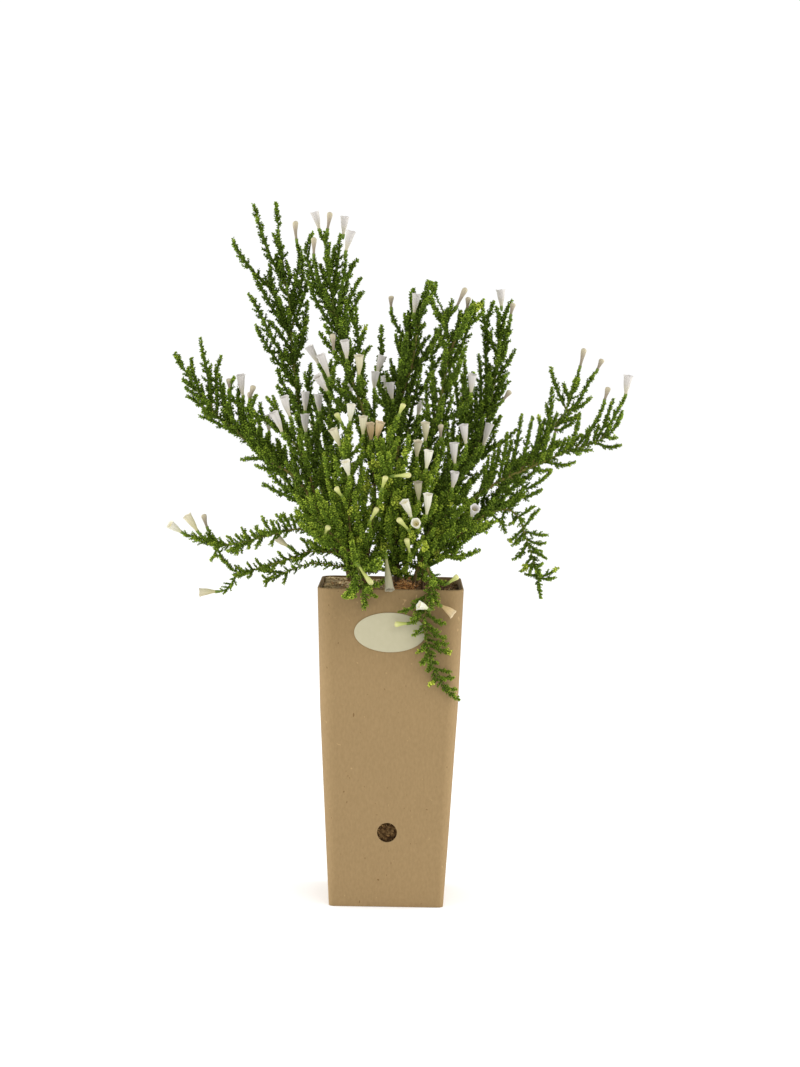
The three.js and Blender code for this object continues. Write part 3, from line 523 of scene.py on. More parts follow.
def fibreShapes(rng, places, reach, radius):
    n = len(places)
    steps = np.linspace(0, 1, 6)
    way = unit(rng.normal(size=(n, 3)) * [1, 1, 0.35])
    bend = rng.normal(size=(n, 3)) * [1, 1, 0.5] * reach * 0.3
    lines = places[:, None] + way[:, None] * (steps[:, None] - 0.5) * reach * rng.uniform(0.5, 1, (n, 1, 1))
    lines = lines + bend[:, None] * (np.sin(steps * math.pi))[:, None]
    radii = np.full((n, 6), radius) * rng.uniform(0.6, 1.2, (n, 1))
    tone = np.broadcast_to(rng.random((n, 1, 2)), (n, 6, 2))
    return tubes(lines, radii, 4, tone)


def compostFinish():  # dark below, and paler where the top has dried on the left
    material, tree, shader = newMaterial("compost", 0.95, 0.1)
    base = ramp(tree, noise(tree, 330, 5), [(0.3, (0.02, 0.009, 0.003)), (0.5, (0.08, 0.043, 0.016)),
                                           (0.72, (0.2, 0.125, 0.05))])
    crust = ramp(tree, noise(tree, 190, 4), [(0.3, (0.28, 0.18, 0.08)), (0.42, (0.62, 0.46, 0.24)),
                                            (0.7, (0.84, 0.67, 0.4))])
    side = node(tree, "SeparateXYZ")
    tree.links.new(node(tree, "TexCoord").outputs["Object"], side.inputs[0])
    dry = node(tree, "MapRange", {"From Min": 0.006, "From Max": -0.014})
    tree.links.new(side.outputs[0], dry.inputs["Value"])
    upper = node(tree, "MapRange", {"From Min": 0.226, "From Max": 0.232})
    tree.links.new(side.outputs[2], upper.inputs["Value"])
    dryTop = node(tree, "Math", operation="MULTIPLY")
    tree.links.new(dry.outputs[0], dryTop.inputs[0])
    tree.links.new(upper.outputs[0], dryTop.inputs[1])
    patches = ramp(tree, noise(tree, 70, 2), [(0.4, (0.35, 0.35, 0.35)), (0.55, (1, 1, 1))])
    patchy = mixed(tree, "MULTIPLY", 1.0, dryTop.outputs[0], patches)
    base = mixed(tree, "MIX", patchy, base, crust)
    tree.links.new(base, shader.inputs["Base Color"])
    bumped(tree, shader, noise(tree, 500, 5), 0.9, 0.0012)
    return material


def makeSoil():
    rng = np.random.default_rng(5)
    makePiece("soil_body", [soilShape()], compostFinish(), ["soil"], uvName=None)
    half = widthAt(soil["top"]) / 2 - pot["wall"] - 3
    flat = rng.uniform(-half, half, (soilLook["crumbs"], 2))
    top = np.column_stack([flat, soilTop(flat[:, 0], flat[:, 1]) + rng.uniform(-0.2, 0.7, len(flat))])
    n = soilLook["drainCrumbs"]
    behind = rng.uniform(-1, 1, (n, 2)) * (pot["drainRadius"] - 0.4)
    depth = widthAt(pot["drainHeight"]) / 2 - pot["wall"] - 0.5 - rng.uniform(0, 0.6, n)
    side = np.where(np.arange(n) % 2 == 0, -1, 1)
    drains = np.column_stack([behind[:, 0], side * depth, pot["drainHeight"] + behind[:, 1]])
    centre, spread = np.array(soilLook["clump"]), np.array(soilLook["clumpSize"])
    clump = centre + rng.normal(size=(soilLook["clumpCrumbs"], 3)) * 0.42 * spread
    shades = [(0, (0.7, 0.7, 0.7)), (1, (1.2, 1.15, 1.1))]
    finish = uvFinish("compostCrumbs", [(0, (0.03, 0.015, 0.005)), (0.45, (0.11, 0.065, 0.025)),
        (0.8, (0.22, 0.145, 0.065)), (1, (0.44, 0.34, 0.19))], shades, 0.95, 0.1)
    makePiece("soil_crumbs", [crumbShapes(rng, top, *soilLook["crumbSizes"])], finish, ["soil"])
    # Behind the drain holes the crumbs are darker and browner: partly the compost's own brown and partly
    # painted shade inside the holes.
    brownAndShade = uvFinish("compostBrownAndShade", [(0, (0.022, 0.009, 0.003)), (0.6, (0.09, 0.045, 0.014)),
        (1, (0.34, 0.21, 0.085))], shades, 0.95, 0.1)
    makePiece("drain_crumbs", [crumbShapes(rng, drains, *soilLook["drainSizes"])], brownAndShade, ["soil"])
    red = uvFinish("compostFibre", [(0, (0.22, 0.1, 0.03)), (0.6, (0.5, 0.25, 0.085)), (1, (0.7, 0.44, 0.2))],
        [(0, (0.7, 0.7, 0.7)), (1, (1.25, 1.2, 1.15))], 0.9, 0.15)
    flat = rng.uniform(-half, half, (soilLook["fibres"], 2)) * 0.93
    strewn = np.column_stack([flat, soilTop(flat[:, 0], flat[:, 1]) + 0.7])
    onClump = centre + rng.normal(size=(soilLook["clumpFibres"], 3)) * 0.45 * spread + [0, 0, 1]
    makePiece("soil_fibres", [fibreShapes(rng, strewn, 9, 0.16), fibreShapes(rng, onClump, 8, 0.2),
        crumbShapes(rng, clump, 0.7, 2.2)], red, ["soil"])


makeSleeve()
makePiece("pot_seam", [seamShape()], board, ["pot_sleeve"], uvName=None)
makePiece("pot_label_oval", [labelShape()], paperFinish(), ["pot_label"], uvName=None)
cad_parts["pot_floor"].data.materials.clear()
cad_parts["pot_floor"].data.materials.append(board)
makeSoil()
print("pot, label and soil made")


# The plant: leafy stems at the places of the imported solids. Routes are the main stem and its forks, then come
# the tips of side shoots, the flowers (foot, then mouth) and the buds (foot, then tip). Each place is
# [x, depth, z], with x and z as they show from the front, and a stem leans back by its lean.

sprays = {
    "tall_left": {
        "seed": 11, "lean": 24, "leafyFrom": 0.3, "young": 0.3,
        "routes": [
            [[-24, 8, 212], [-28, 10, 250], [-45, 12, 290], [-60, 14, 330], [-71, 14, 372], [-77, 13, 412],
            [-80, 12, 450], [-86, 10, 485], [-91, 8, 526]],
        ],
        "tips": [[-108, 2, 524], [-123, 16, 498], [-111, 6, 457], [-105, 22, 433], [-88, 0, 400],
            [-71, 22, 486], [-64, 14, 478], [-66, 24, 452], [-66, 8, 440], [-82, 26, 478], [-95, 22, 470],
            [-88, 24, 388]],
        "blooms": [[[-67, -6, 368], [-67, -8, 384]], [[-66, -14, 352], [-67, -17, 367]],
            [[-56, -10, 368], [-57, -13, 382]]],
        "buds": [],
    },
    "crown_left": {
        "seed": 12, "lean": -22, "leafyFrom": 0.35, "young": 0.3,
        "routes": [
            [[-22, 2, 212], [-20, 2, 250], [-14, 0, 290], [-15, -2, 330], [-22, -4, 365], [-34, -6, 400],
            [-44, -6, 435], [-50, -4, 470], [-54, -2, 504]],
        ],
        "tips": [[-63, 4, 503], [-42, 4, 503], [-35, -4, 491], [-29, 6, 484], [-26, -4, 470], [-24, 8, 460],
            [-18, -6, 419], [-22, 8, 434], [-65, -4, 466], [-57, 6, 428], [-46, 12, 494], [-30, 14, 448]],
        "blooms": [[[-58, 0, 505], [-62, 0, 519]], [[-40, -2, 501], [-39, -3, 516]],
            [[-38, -12, 489], [-34, -14, 505]], [[-36, -16, 408], [-38, -19, 423]],
            [[-27, -14, 396], [-27, -17, 412]], [[-49, -16, 394], [-56, -19, 412]],
            [[-50, -18, 384], [-58, -24, 396]], [[-57, -2, 404], [-65, -4, 418]]],
        "buds": [[[-75, -6, 497], [-76, -7, 512]], [[-62, -10, 486], [-62, -11, 500]],
            [[-52, -7, 505], [-50, -8, 519]], [[-46, -14, 414], [-47, -16, 428]]],
    },
    "left_arm": {
        "seed": 13, "lean": -30, "leafyFrom": 0.22, "young": 0.35, "aim": {"spread": 34, "weight": 2},
        "routes": [
            [[-26, -2, 212], [-31, -2, 250], [-40, -3, 268], [-54, -4, 292], [-74, -6, 319], [-96, -8, 333],
            [-116, -8, 350], [-134, -8, 365], [-147, -8, 381], [-156, -8, 395], [-166, -8, 410]],
            [[-55, -5, 298], [-66, -14, 330], [-80, -20, 350], [-95, -21, 360], [-105, -22, 366],
            [-109, -22, 376]],
        ],
        "tips": [[-153, -2, 408], [-147, -12, 423], [-131, -6, 410], [-158, -14, 386], [-157, -4, 379],
            [-147, -6, 364], [-139, 0, 401], [-129, 4, 388], [-121, -20, 394], [-115, -8, 332],
            [-103, -4, 324], [-101, 2, 357], [-94, 4, 352], [-87, 0, 347], [-101, -16, 375], [-96, -27, 379],
            [-87, -14, 388]],
        "blooms": [[[-114, -10, 379], [-116, -12, 396]], [[-84, -28, 352], [-91, -31, 368]],
            [[-78, -26, 364], [-83, -29, 380]]],
        "buds": [[[-124, -8, 383], [-125, -9, 393]], [[-109, -18, 377], [-106, -19, 388]]],
    },
    "low_left": {
        "seed": 14, "lean": -20, "leafyFrom": 0.2, "young": 0.42, "aim": {"spread": 40, "weight": 1.5},
        "routes": [
            [[-27, -12, 212], [-30, -15, 246], [-42, -20, 264], [-66, -26, 279], [-88, -28, 276],
            [-110, -28, 270], [-128, -28, 266], [-143, -28, 269], [-151, -28, 272]],
            [[-44, -18, 260], [-60, -14, 263], [-78, -12, 257], [-96, -12, 251], [-112, -14, 246],
            [-120, -14, 248], [-130, -14, 257]],
            [[-38, -15, 246], [-56, 0, 254], [-72, 6, 250], [-86, 8, 244], [-97, 8, 239]],
        ],
        "tips": [[-99, -24, 289], [-92, -35, 286], [-114, -31, 280], [-119, -29, 259], [-103, -33, 264],
            [-91, -29, 266], [-137, -32, 254], [-98, -12, 314], [-84, -36, 291], [-110, -10, 254],
            [-86, -8, 262], [-102, 9, 243]],
        "blooms": [[[-159, -28, 275.5], [-170, -33, 282]], [[-147, -31, 276], [-156, -32, 289]],
            [[-132, -17, 231], [-146, -18, 230]], [[-78, -20, 266], [-88, -22, 274]]],
        "buds": [[[-140, -24, 279], [-143, -24, 290]]],
    },
    "center_tall": {
        "seed": 15, "lean": 22, "leafyFrom": 0.3, "young": 0.3,
        "routes": [
            [[3, 12, 212], [3, 14, 255], [2, 16, 300], [4, 18, 345], [7, 18, 390], [10, 16, 425],
            [14, 14, 459]],
            [[7, 17, 385], [13, 10, 405], [17, 8, 430], [20, 8, 450], [24, 10, 469]],
        ],
        "tips": [[-10, 24, 434], [26, 16, 427], [2, 28, 430], [-6, 26, 400], [20, 28, 410]],
        "blooms": [[[14, 2, 443], [16, 1, 459]], [[-1, 6, 378], [-3, 4, 392]], [[-13, 10, 398], [-9, 8, 412]],
            [[-15, 0, 386], [-14, -2, 400]]],
        "buds": [[[-3, 14, 447], [-3, 14, 457]]],
    },
    "center_right": {
        "seed": 16, "lean": -18, "leafyFrom": 0.3, "young": 0.34,
        "routes": [
            [[10, 2, 212], [12, 2, 260], [18, 2, 305], [28, 0, 350], [37, -2, 390], [41, -4, 420],
            [37, -5, 443], [31, -4, 456], [26, -3, 468]],
            [[40, -4, 412], [47, -8, 428], [54, -10, 440], [61, -10, 451]],
        ],
        "tips": [[43, -6, 455], [66, -4, 454], [31, -12, 428], [54, -14, 420], [28, 8, 420]],
        "blooms": [[[24, -14, 347], [24, -17, 362]], [[58, -6, 384], [59, -8, 399]]],
        "buds": [[[46, -6, 449], [53, -7, 464]], [[54, -3, 447], [55, -3, 457]],
            [[36, -16, 350], [36, -18, 361]]],
    },
    "right_tall": {
        "seed": 17, "lean": 20, "leafyFrom": 0.3, "young": 0.3,
        "routes": [
            [[17, 9, 212], [22, 11, 258], [38, 13, 300], [57, 13, 332], [70, 12, 362], [75, 10, 388],
            [78, 9, 412], [78, 8, 435], [78, 7, 437]],
        ],
        "tips": [[74, 10, 454], [68, 18, 427], [63, 6, 414], [88, 8, 455], [91, 2, 418], [86, 18, 400],
            [84, 20, 432], [58, 22, 400], [72, 0, 400]],
        "blooms": [[[80, 6, 449], [79, 5, 463]], [[68, 0, 344], [73, -2, 362]]],
        "buds": [[[87, 0, 443], [89, -1, 453]], [[82, 4, 379], [88, 3, 387]]],
    },
    "right_arm": {
        "seed": 18, "lean": -24, "leafyFrom": 0.2, "young": 0.37, "aim": {"spread": 58, "weight": 1.2},
        "routes": [
            [[14, -1, 212], [20, -3, 250], [30, -5, 268], [42, -8, 282], [62, -10, 305], [84, -12, 320],
            [108, -14, 331], [130, -14, 341], [150, -14, 348], [163, -14, 355], [171, -14, 368],
            [173, -14, 373]],
            [[96, -13, 326], [110, -4, 346], [121, 1, 360], [129, 2, 370], [134, 0, 386], [137, 0, 395]],
        ],
        "tips": [[171, -8, 382], [178, -19, 381], [166, -9, 382], [173, -16, 347], [151, -19, 343],
            [138, -12, 334], [120, -20, 328], [97, -8, 369], [105, -18, 368], [110, -10, 369], [86, -18, 355],
            [80, -10, 347], [133, -19, 353], [118, 6, 405], [149, -2, 383], [141, 6, 371], [113, -22, 313]],
        "blooms": [[[175, -14, 384.5], [177, -15, 400]]],
        "buds": [[[159, -12, 380], [162, -12, 391]], [[140, 0, 405], [143, 0, 420]],
            [[153, 4, 403], [157, 4, 412]]],
    },
    "right_low": {
        "seed": 19, "lean": 0, "leafyFrom": 0.2, "young": 0.36, "aim": {"spread": 55, "weight": 1.5},
        "routes": [
            [[16, -10, 212], [21, -14, 246], [31, -18, 262], [50, -22, 276], [68, -26, 291], [86, -28, 297],
            [96, -30, 291], [101, -30, 278], [106, -30, 264], [111, -30, 248], [114, -30, 230]],
        ],
        "tips": [[108, -35, 300], [112, -25, 298], [119, -31, 278], [92, -27, 259], [88, -34, 274],
            [118, -34, 260], [127, -29, 253], [98, -33, 250], [86, -30, 279], [100, -36, 313]],
        "blooms": [],
        "buds": [],
    },
    "right_front": {
        "seed": 20, "lean": 0, "leafyFrom": 0.34, "young": 0.42,
        "routes": [
            [[14, -22, 212], [19, -28, 248], [31, -36, 268], [47, -42, 282], [61, -45, 284], [72, -46, 279]],
        ],
        "tips": [[79, -46, 288], [67, -44, 266], [56, -48, 260], [40, -44, 260], [62, -40, 304],
            [38, -30, 310]],
        "blooms": [[[47, -30, 330], [46, -33, 347]], [[55, -26, 345], [53, -29, 361]],
            [[45, -38, 312], [47, -41, 325]], [[60, -46, 291], [63, -55, 298]]],
        "buds": [],
    },
    "front_bush": {
        "seed": 21, "lean": -16, "leafyFrom": 0.22, "young": 0.46,
        "routes": [
            [[5, -12, 212], [5, -18, 255], [1, -30, 290], [-3, -36, 325], [-2, -37, 350], [0, -37, 357]],
            [[4, -20, 262], [14, -32, 285], [20, -36, 305], [24, -36, 325]],
        ],
        "tips": [[-19, -40, 343], [12, -42, 352], [-26, -44, 322], [-10, -50, 338], [34, -40, 330],
            [-22, -46, 300]],
        "blooms": [[[15, -48, 289], [9, -54, 302]], [[26, -46, 291], [27, -50, 308]],
            [[20, -48, 282], [18, -64, 286]], [[20, -43, 302], [19, -46, 317]],
            [[25, -40, 326], [27, -42, 341]], [[18, -24, 335], [19, -28, 348]]],
        "buds": [[[4, -36, 367], [8, -37, 376]], [[-8, -50, 311], [-5, -53, 321]],
            [[0, -48, 321], [14, -53, 322]], [[13, -50, 280], [4, -54, 289]],
            [[14, -46, 262], [11, -50, 274]]],
    },
    "front_left": {
        "seed": 22, "lean": -12, "leafyFrom": 0.22, "young": 0.48,
        "routes": [
            [[-26, -21, 212], [-29, -28, 250], [-32, -36, 285], [-34, -38, 315], [-34, -35, 340],
            [-34, -33, 351]],
            [[-30, -31, 262], [-44, -42, 274], [-57, -47, 288], [-67, -48, 302]],
        ],
        "tips": [[-50, -42, 318], [-74, -42, 306], [-62, -54, 284], [-46, -52, 300], [-52, -34, 338]],
        "blooms": [[[-33, -32, 361], [-32, -34, 375]], [[-23, -32, 351], [-23, -35, 366]],
            [[-17, -24, 347], [-18, -27, 361]], [[-13, -31, 348], [-10, -34, 362]],
            [[-40, -36, 342], [-46, -39, 356]], [[-33, -46, 320], [-36, -50, 332]]],
        "buds": [[[-38, -46, 305], [-43, -50, 312]], [[-17, -46, 286], [-11, -49, 297]],
            [[-51, -50, 276], [-48, -55, 282]], [[-39, -26, 360], [-44, -28, 368]]],
    },
    "front_over": {
        "seed": 23, "lean": 0, "leafyFrom": 0.34, "young": 0.42,
        "routes": [
            [[-17, -14, 212], [-20, -24, 247], [-25, -40, 257], [-25, -52, 252], [-23, -59, 241],
            [-20, -60, 231], [-20, -60, 219]],
        ],
        "tips": [[-30, -59, 236], [-11, -61, 229], [-37, -44, 250]],
        "blooms": [[[-4, -51, 259], [-1, -62, 234]]],
        "buds": [[[-25, -60, 253], [-14, -65, 238]]],
    },
    "front_droop": {
        "seed": 24, "lean": 0, "leafyFrom": 0.2, "young": 0.37, "aim": {"spread": 60, "weight": 1.5},
        "routes": [
            [[24, -28, 212], [24, -36, 244], [26, -50, 253], [30, -60, 242], [27, -61, 230], [26, -61, 215],
            [26, -60, 204], [29, -59, 192], [32, -58, 178], [37, -57, 168], [43, -56, 158], [53, -55, 151]],
        ],
        "tips": [[42, -59, 209], [43, -61, 198], [47, -58, 188], [49, -58, 168], [16, -67, 213],
            [17, -60, 200], [20, -59, 186], [29, -58, 172], [30, -58, 161], [17, -58, 226]],
        "blooms": [[[38, -60, 223], [48, -62, 216]], [[29, -67, 220], [21, -70, 223]]],
        "buds": [[[14, -60, 209], [3, -61, 208]], [[43, -52, 240], [51, -54, 246]]],
    },
    "back_left": {
        "seed": 25, "lean": 0, "leafyFrom": 0.28, "young": 0.36,
        "routes": [
            [[-24, 20, 212], [-29, 27, 256], [-41, 42, 300], [-47, 54, 342], [-49, 66, 378], [-48, 76, 408]],
        ],
        "tips": [[-68, 56, 398], [-34, 70, 402], [-64, 72, 376], [-30, 66, 372], [-76, 56, 352],
            [-54, 92, 372], [-36, 88, 350], [-68, 70, 326], [-46, 96, 336]],
        "blooms": [[[-50, 92, 384], [-52, 99, 397]], [[-36, 84, 376], [-33, 93, 388]]],
        "buds": [[[-60, 84, 352], [-62, 92, 362]]],
    },
    "back_low_left": {
        "seed": 26, "lean": 0, "leafyFrom": 0.2, "young": 0.38,
        "routes": [
            [[-28, 30, 212], [-34, 40, 252], [-45, 47, 270], [-64, 56, 292], [-84, 68, 322], [-102, 78, 346],
            [-117, 86, 368]],
        ],
        "tips": [[-126, 76, 366], [-102, 92, 372], [-112, 64, 352], [-84, 86, 350], [-96, 82, 326],
            [-92, 60, 338], [-66, 84, 318], [-78, 70, 290]],
        "blooms": [[[-94, 88, 352], [-95, 95, 365]]],
        "buds": [[[-108, 88, 372], [-109, 92, 383]]],
    },
    "back_mid": {
        "seed": 27, "lean": 10, "leafyFrom": 0.28, "young": 0.3,
        "routes": [
            [[4, 26, 212], [3, 38, 258], [0, 52, 305], [-2, 64, 348], [2, 74, 384], [6, 82, 412]],
        ],
        "tips": [[-14, 78, 404], [20, 76, 404], [-20, 74, 376], [26, 84, 372], [-14, 94, 358], [18, 96, 346],
            [-26, 80, 332], [12, 92, 316], [-10, 86, 292]],
        "blooms": [[[-6, 92, 384], [-8, 99, 397]], [[18, 92, 366], [21, 99, 379]]],
        "buds": [[[4, 94, 372], [4, 101, 382]]],
    },
    "back_right": {
        "seed": 28, "lean": 0, "leafyFrom": 0.28, "young": 0.36,
        "routes": [
            [[16, 23, 212], [22, 33, 256], [39, 46, 298], [49, 58, 336], [56, 68, 370], [60, 78, 400]],
        ],
        "tips": [[46, 74, 398], [74, 70, 392], [40, 74, 366], [78, 66, 366], [66, 90, 364], [46, 92, 346],
            [76, 78, 338], [36, 82, 314], [58, 90, 316]],
        "blooms": [[[54, 90, 372], [53, 98, 384]], [[68, 88, 350], [71, 96, 362]]],
        "buds": [[[58, 92, 336], [60, 99, 346]]],
    },
    "back_low_right": {
        "seed": 29, "lean": 0, "leafyFrom": 0.2, "young": 0.3,
        "routes": [
            [[20, 30, 212], [28, 41, 252], [40, 48, 268], [60, 56, 284], [82, 68, 310], [106, 78, 332],
            [126, 86, 350]],
        ],
        "tips": [[138, 76, 352], [116, 92, 358], [112, 64, 348], [92, 88, 338], [100, 84, 314], [76, 86, 304],
            [98, 60, 334]],
        "blooms": [[[96, 92, 322], [97, 98, 335]]],
        "buds": [[[122, 90, 354], [124, 94, 365]]],
    },
}

eye = {"x": 6, "distance": 1690, "z": 397}
leanHeight = 500
woody = {"foot": 1.95, "fork": 1.25, "tip": 0.5, "sides": 8}
twig = {"foot": 0.62, "tip": 0.36, "sides": 4, "steps": 10}
room = {"bough": 2.6, "shoot": 2.5, "bloom": 3.8, "bud": 2.2, "air": 0.5, "freeFoot": 6, "freeStem": 40,
        "step": 3}
# Where a shoot may start. The places stand apart, and begin above the foot of a fork or a shoot.
footing = {"facing": 0.2, "nearest": 10, "tries": 14, "sideways": 8, "apart": 2.5, "onFork": 0.1,
           "onShoot": 5}
leafAim = {"spread": 20, "weight": 3}  # the angle that shoots make with the wood, and how much it counts
flowerAim = {"spread": 30, "weight": 1.2}
filler = {"from": 0.15, "upTo": 0.93, "spacing": 16, "length": 34, "shortest": 13, "lean": 38, "lift": 0.25,
          "turn": 137.5, "tries": (0, 50, -50, 100)}
# Where the white shows through between the stems, as seen from the front: x, z and radius.
openPlaces = [
    (-50, 253, 12), (39, 254, 11), (-85, 315, 12), (-100, 261, 10), (-45, 374, 9), (-105, 457, 12),
    (-86, 299, 12), (6, 430, 5), (6, 452, 6), (-108, 285, 11), (-120, 255, 8), (-71, 274, 8), (-95, 408, 9),
    (-6, 411, 8), (-80, 479, 6), (-83, 264, 8), (-33, 467, 8), (-138, 407, 7), (60, 430, 8), (-129, 397, 6),
    (25, 436, 8), (-86, 504, 6), (36, 454, 7), (30, 413, 7), (-132, 276, 7), (43, 438, 6), (78, 281, 7),
    (18, 465, 6), (-107, 330, 9), (61, 376, 6), (62, 392, 6), (-112, 466, 6), (132, 376, 5),
]
barePlaces = [(-80, -35, 256), (28, 80, 257)]  # bare feet of stems: from x, to x and up to z
bareDepth = -46
stalky = ["right_arm", "low_left", "right_low", "front_droop"]  # their side shoots all start on the wood
leafyFeet = ["low_left"]  # not bare in those places
openShare = 0.3  # a shoot may run this much of its way through open places
# Tips of further shoots, as in the sprays: x, depth and z.
fillTips = {
    "crown_left": [(-60, 8, 472), (-50, 0, 448), (-34, 4, 447), (-28, 8, 332), (-24, 10, 312), (-6, 10, 322),
        (-20, -12, 318), (-27, 2, 322), (-10, -8, 300)],
    "center_right": [(66, -8, 345), (53, 0, 411), (53, -6, 435), (36, 8, 340), (40, -10, 336), (34, 4, 326),
        (38, 6, 352)],
    "right_tall": [(93, 4, 358)],
    "front_bush": [(-7, -34, 262), (16, -36, 262), (8, -44, 276), (-4, -46, 290), (24, -44, 276),
        (12, -40, 253), (2, -38, 250), (24, -38, 254), (34, -34, 258), (-14, -34, 254), (32, -30, 268),
        (-2, -30, 300)],
    "right_front": [(64, -20, 283), (52, -26, 270), (42, -30, 262), (22, -30, 262)],
}


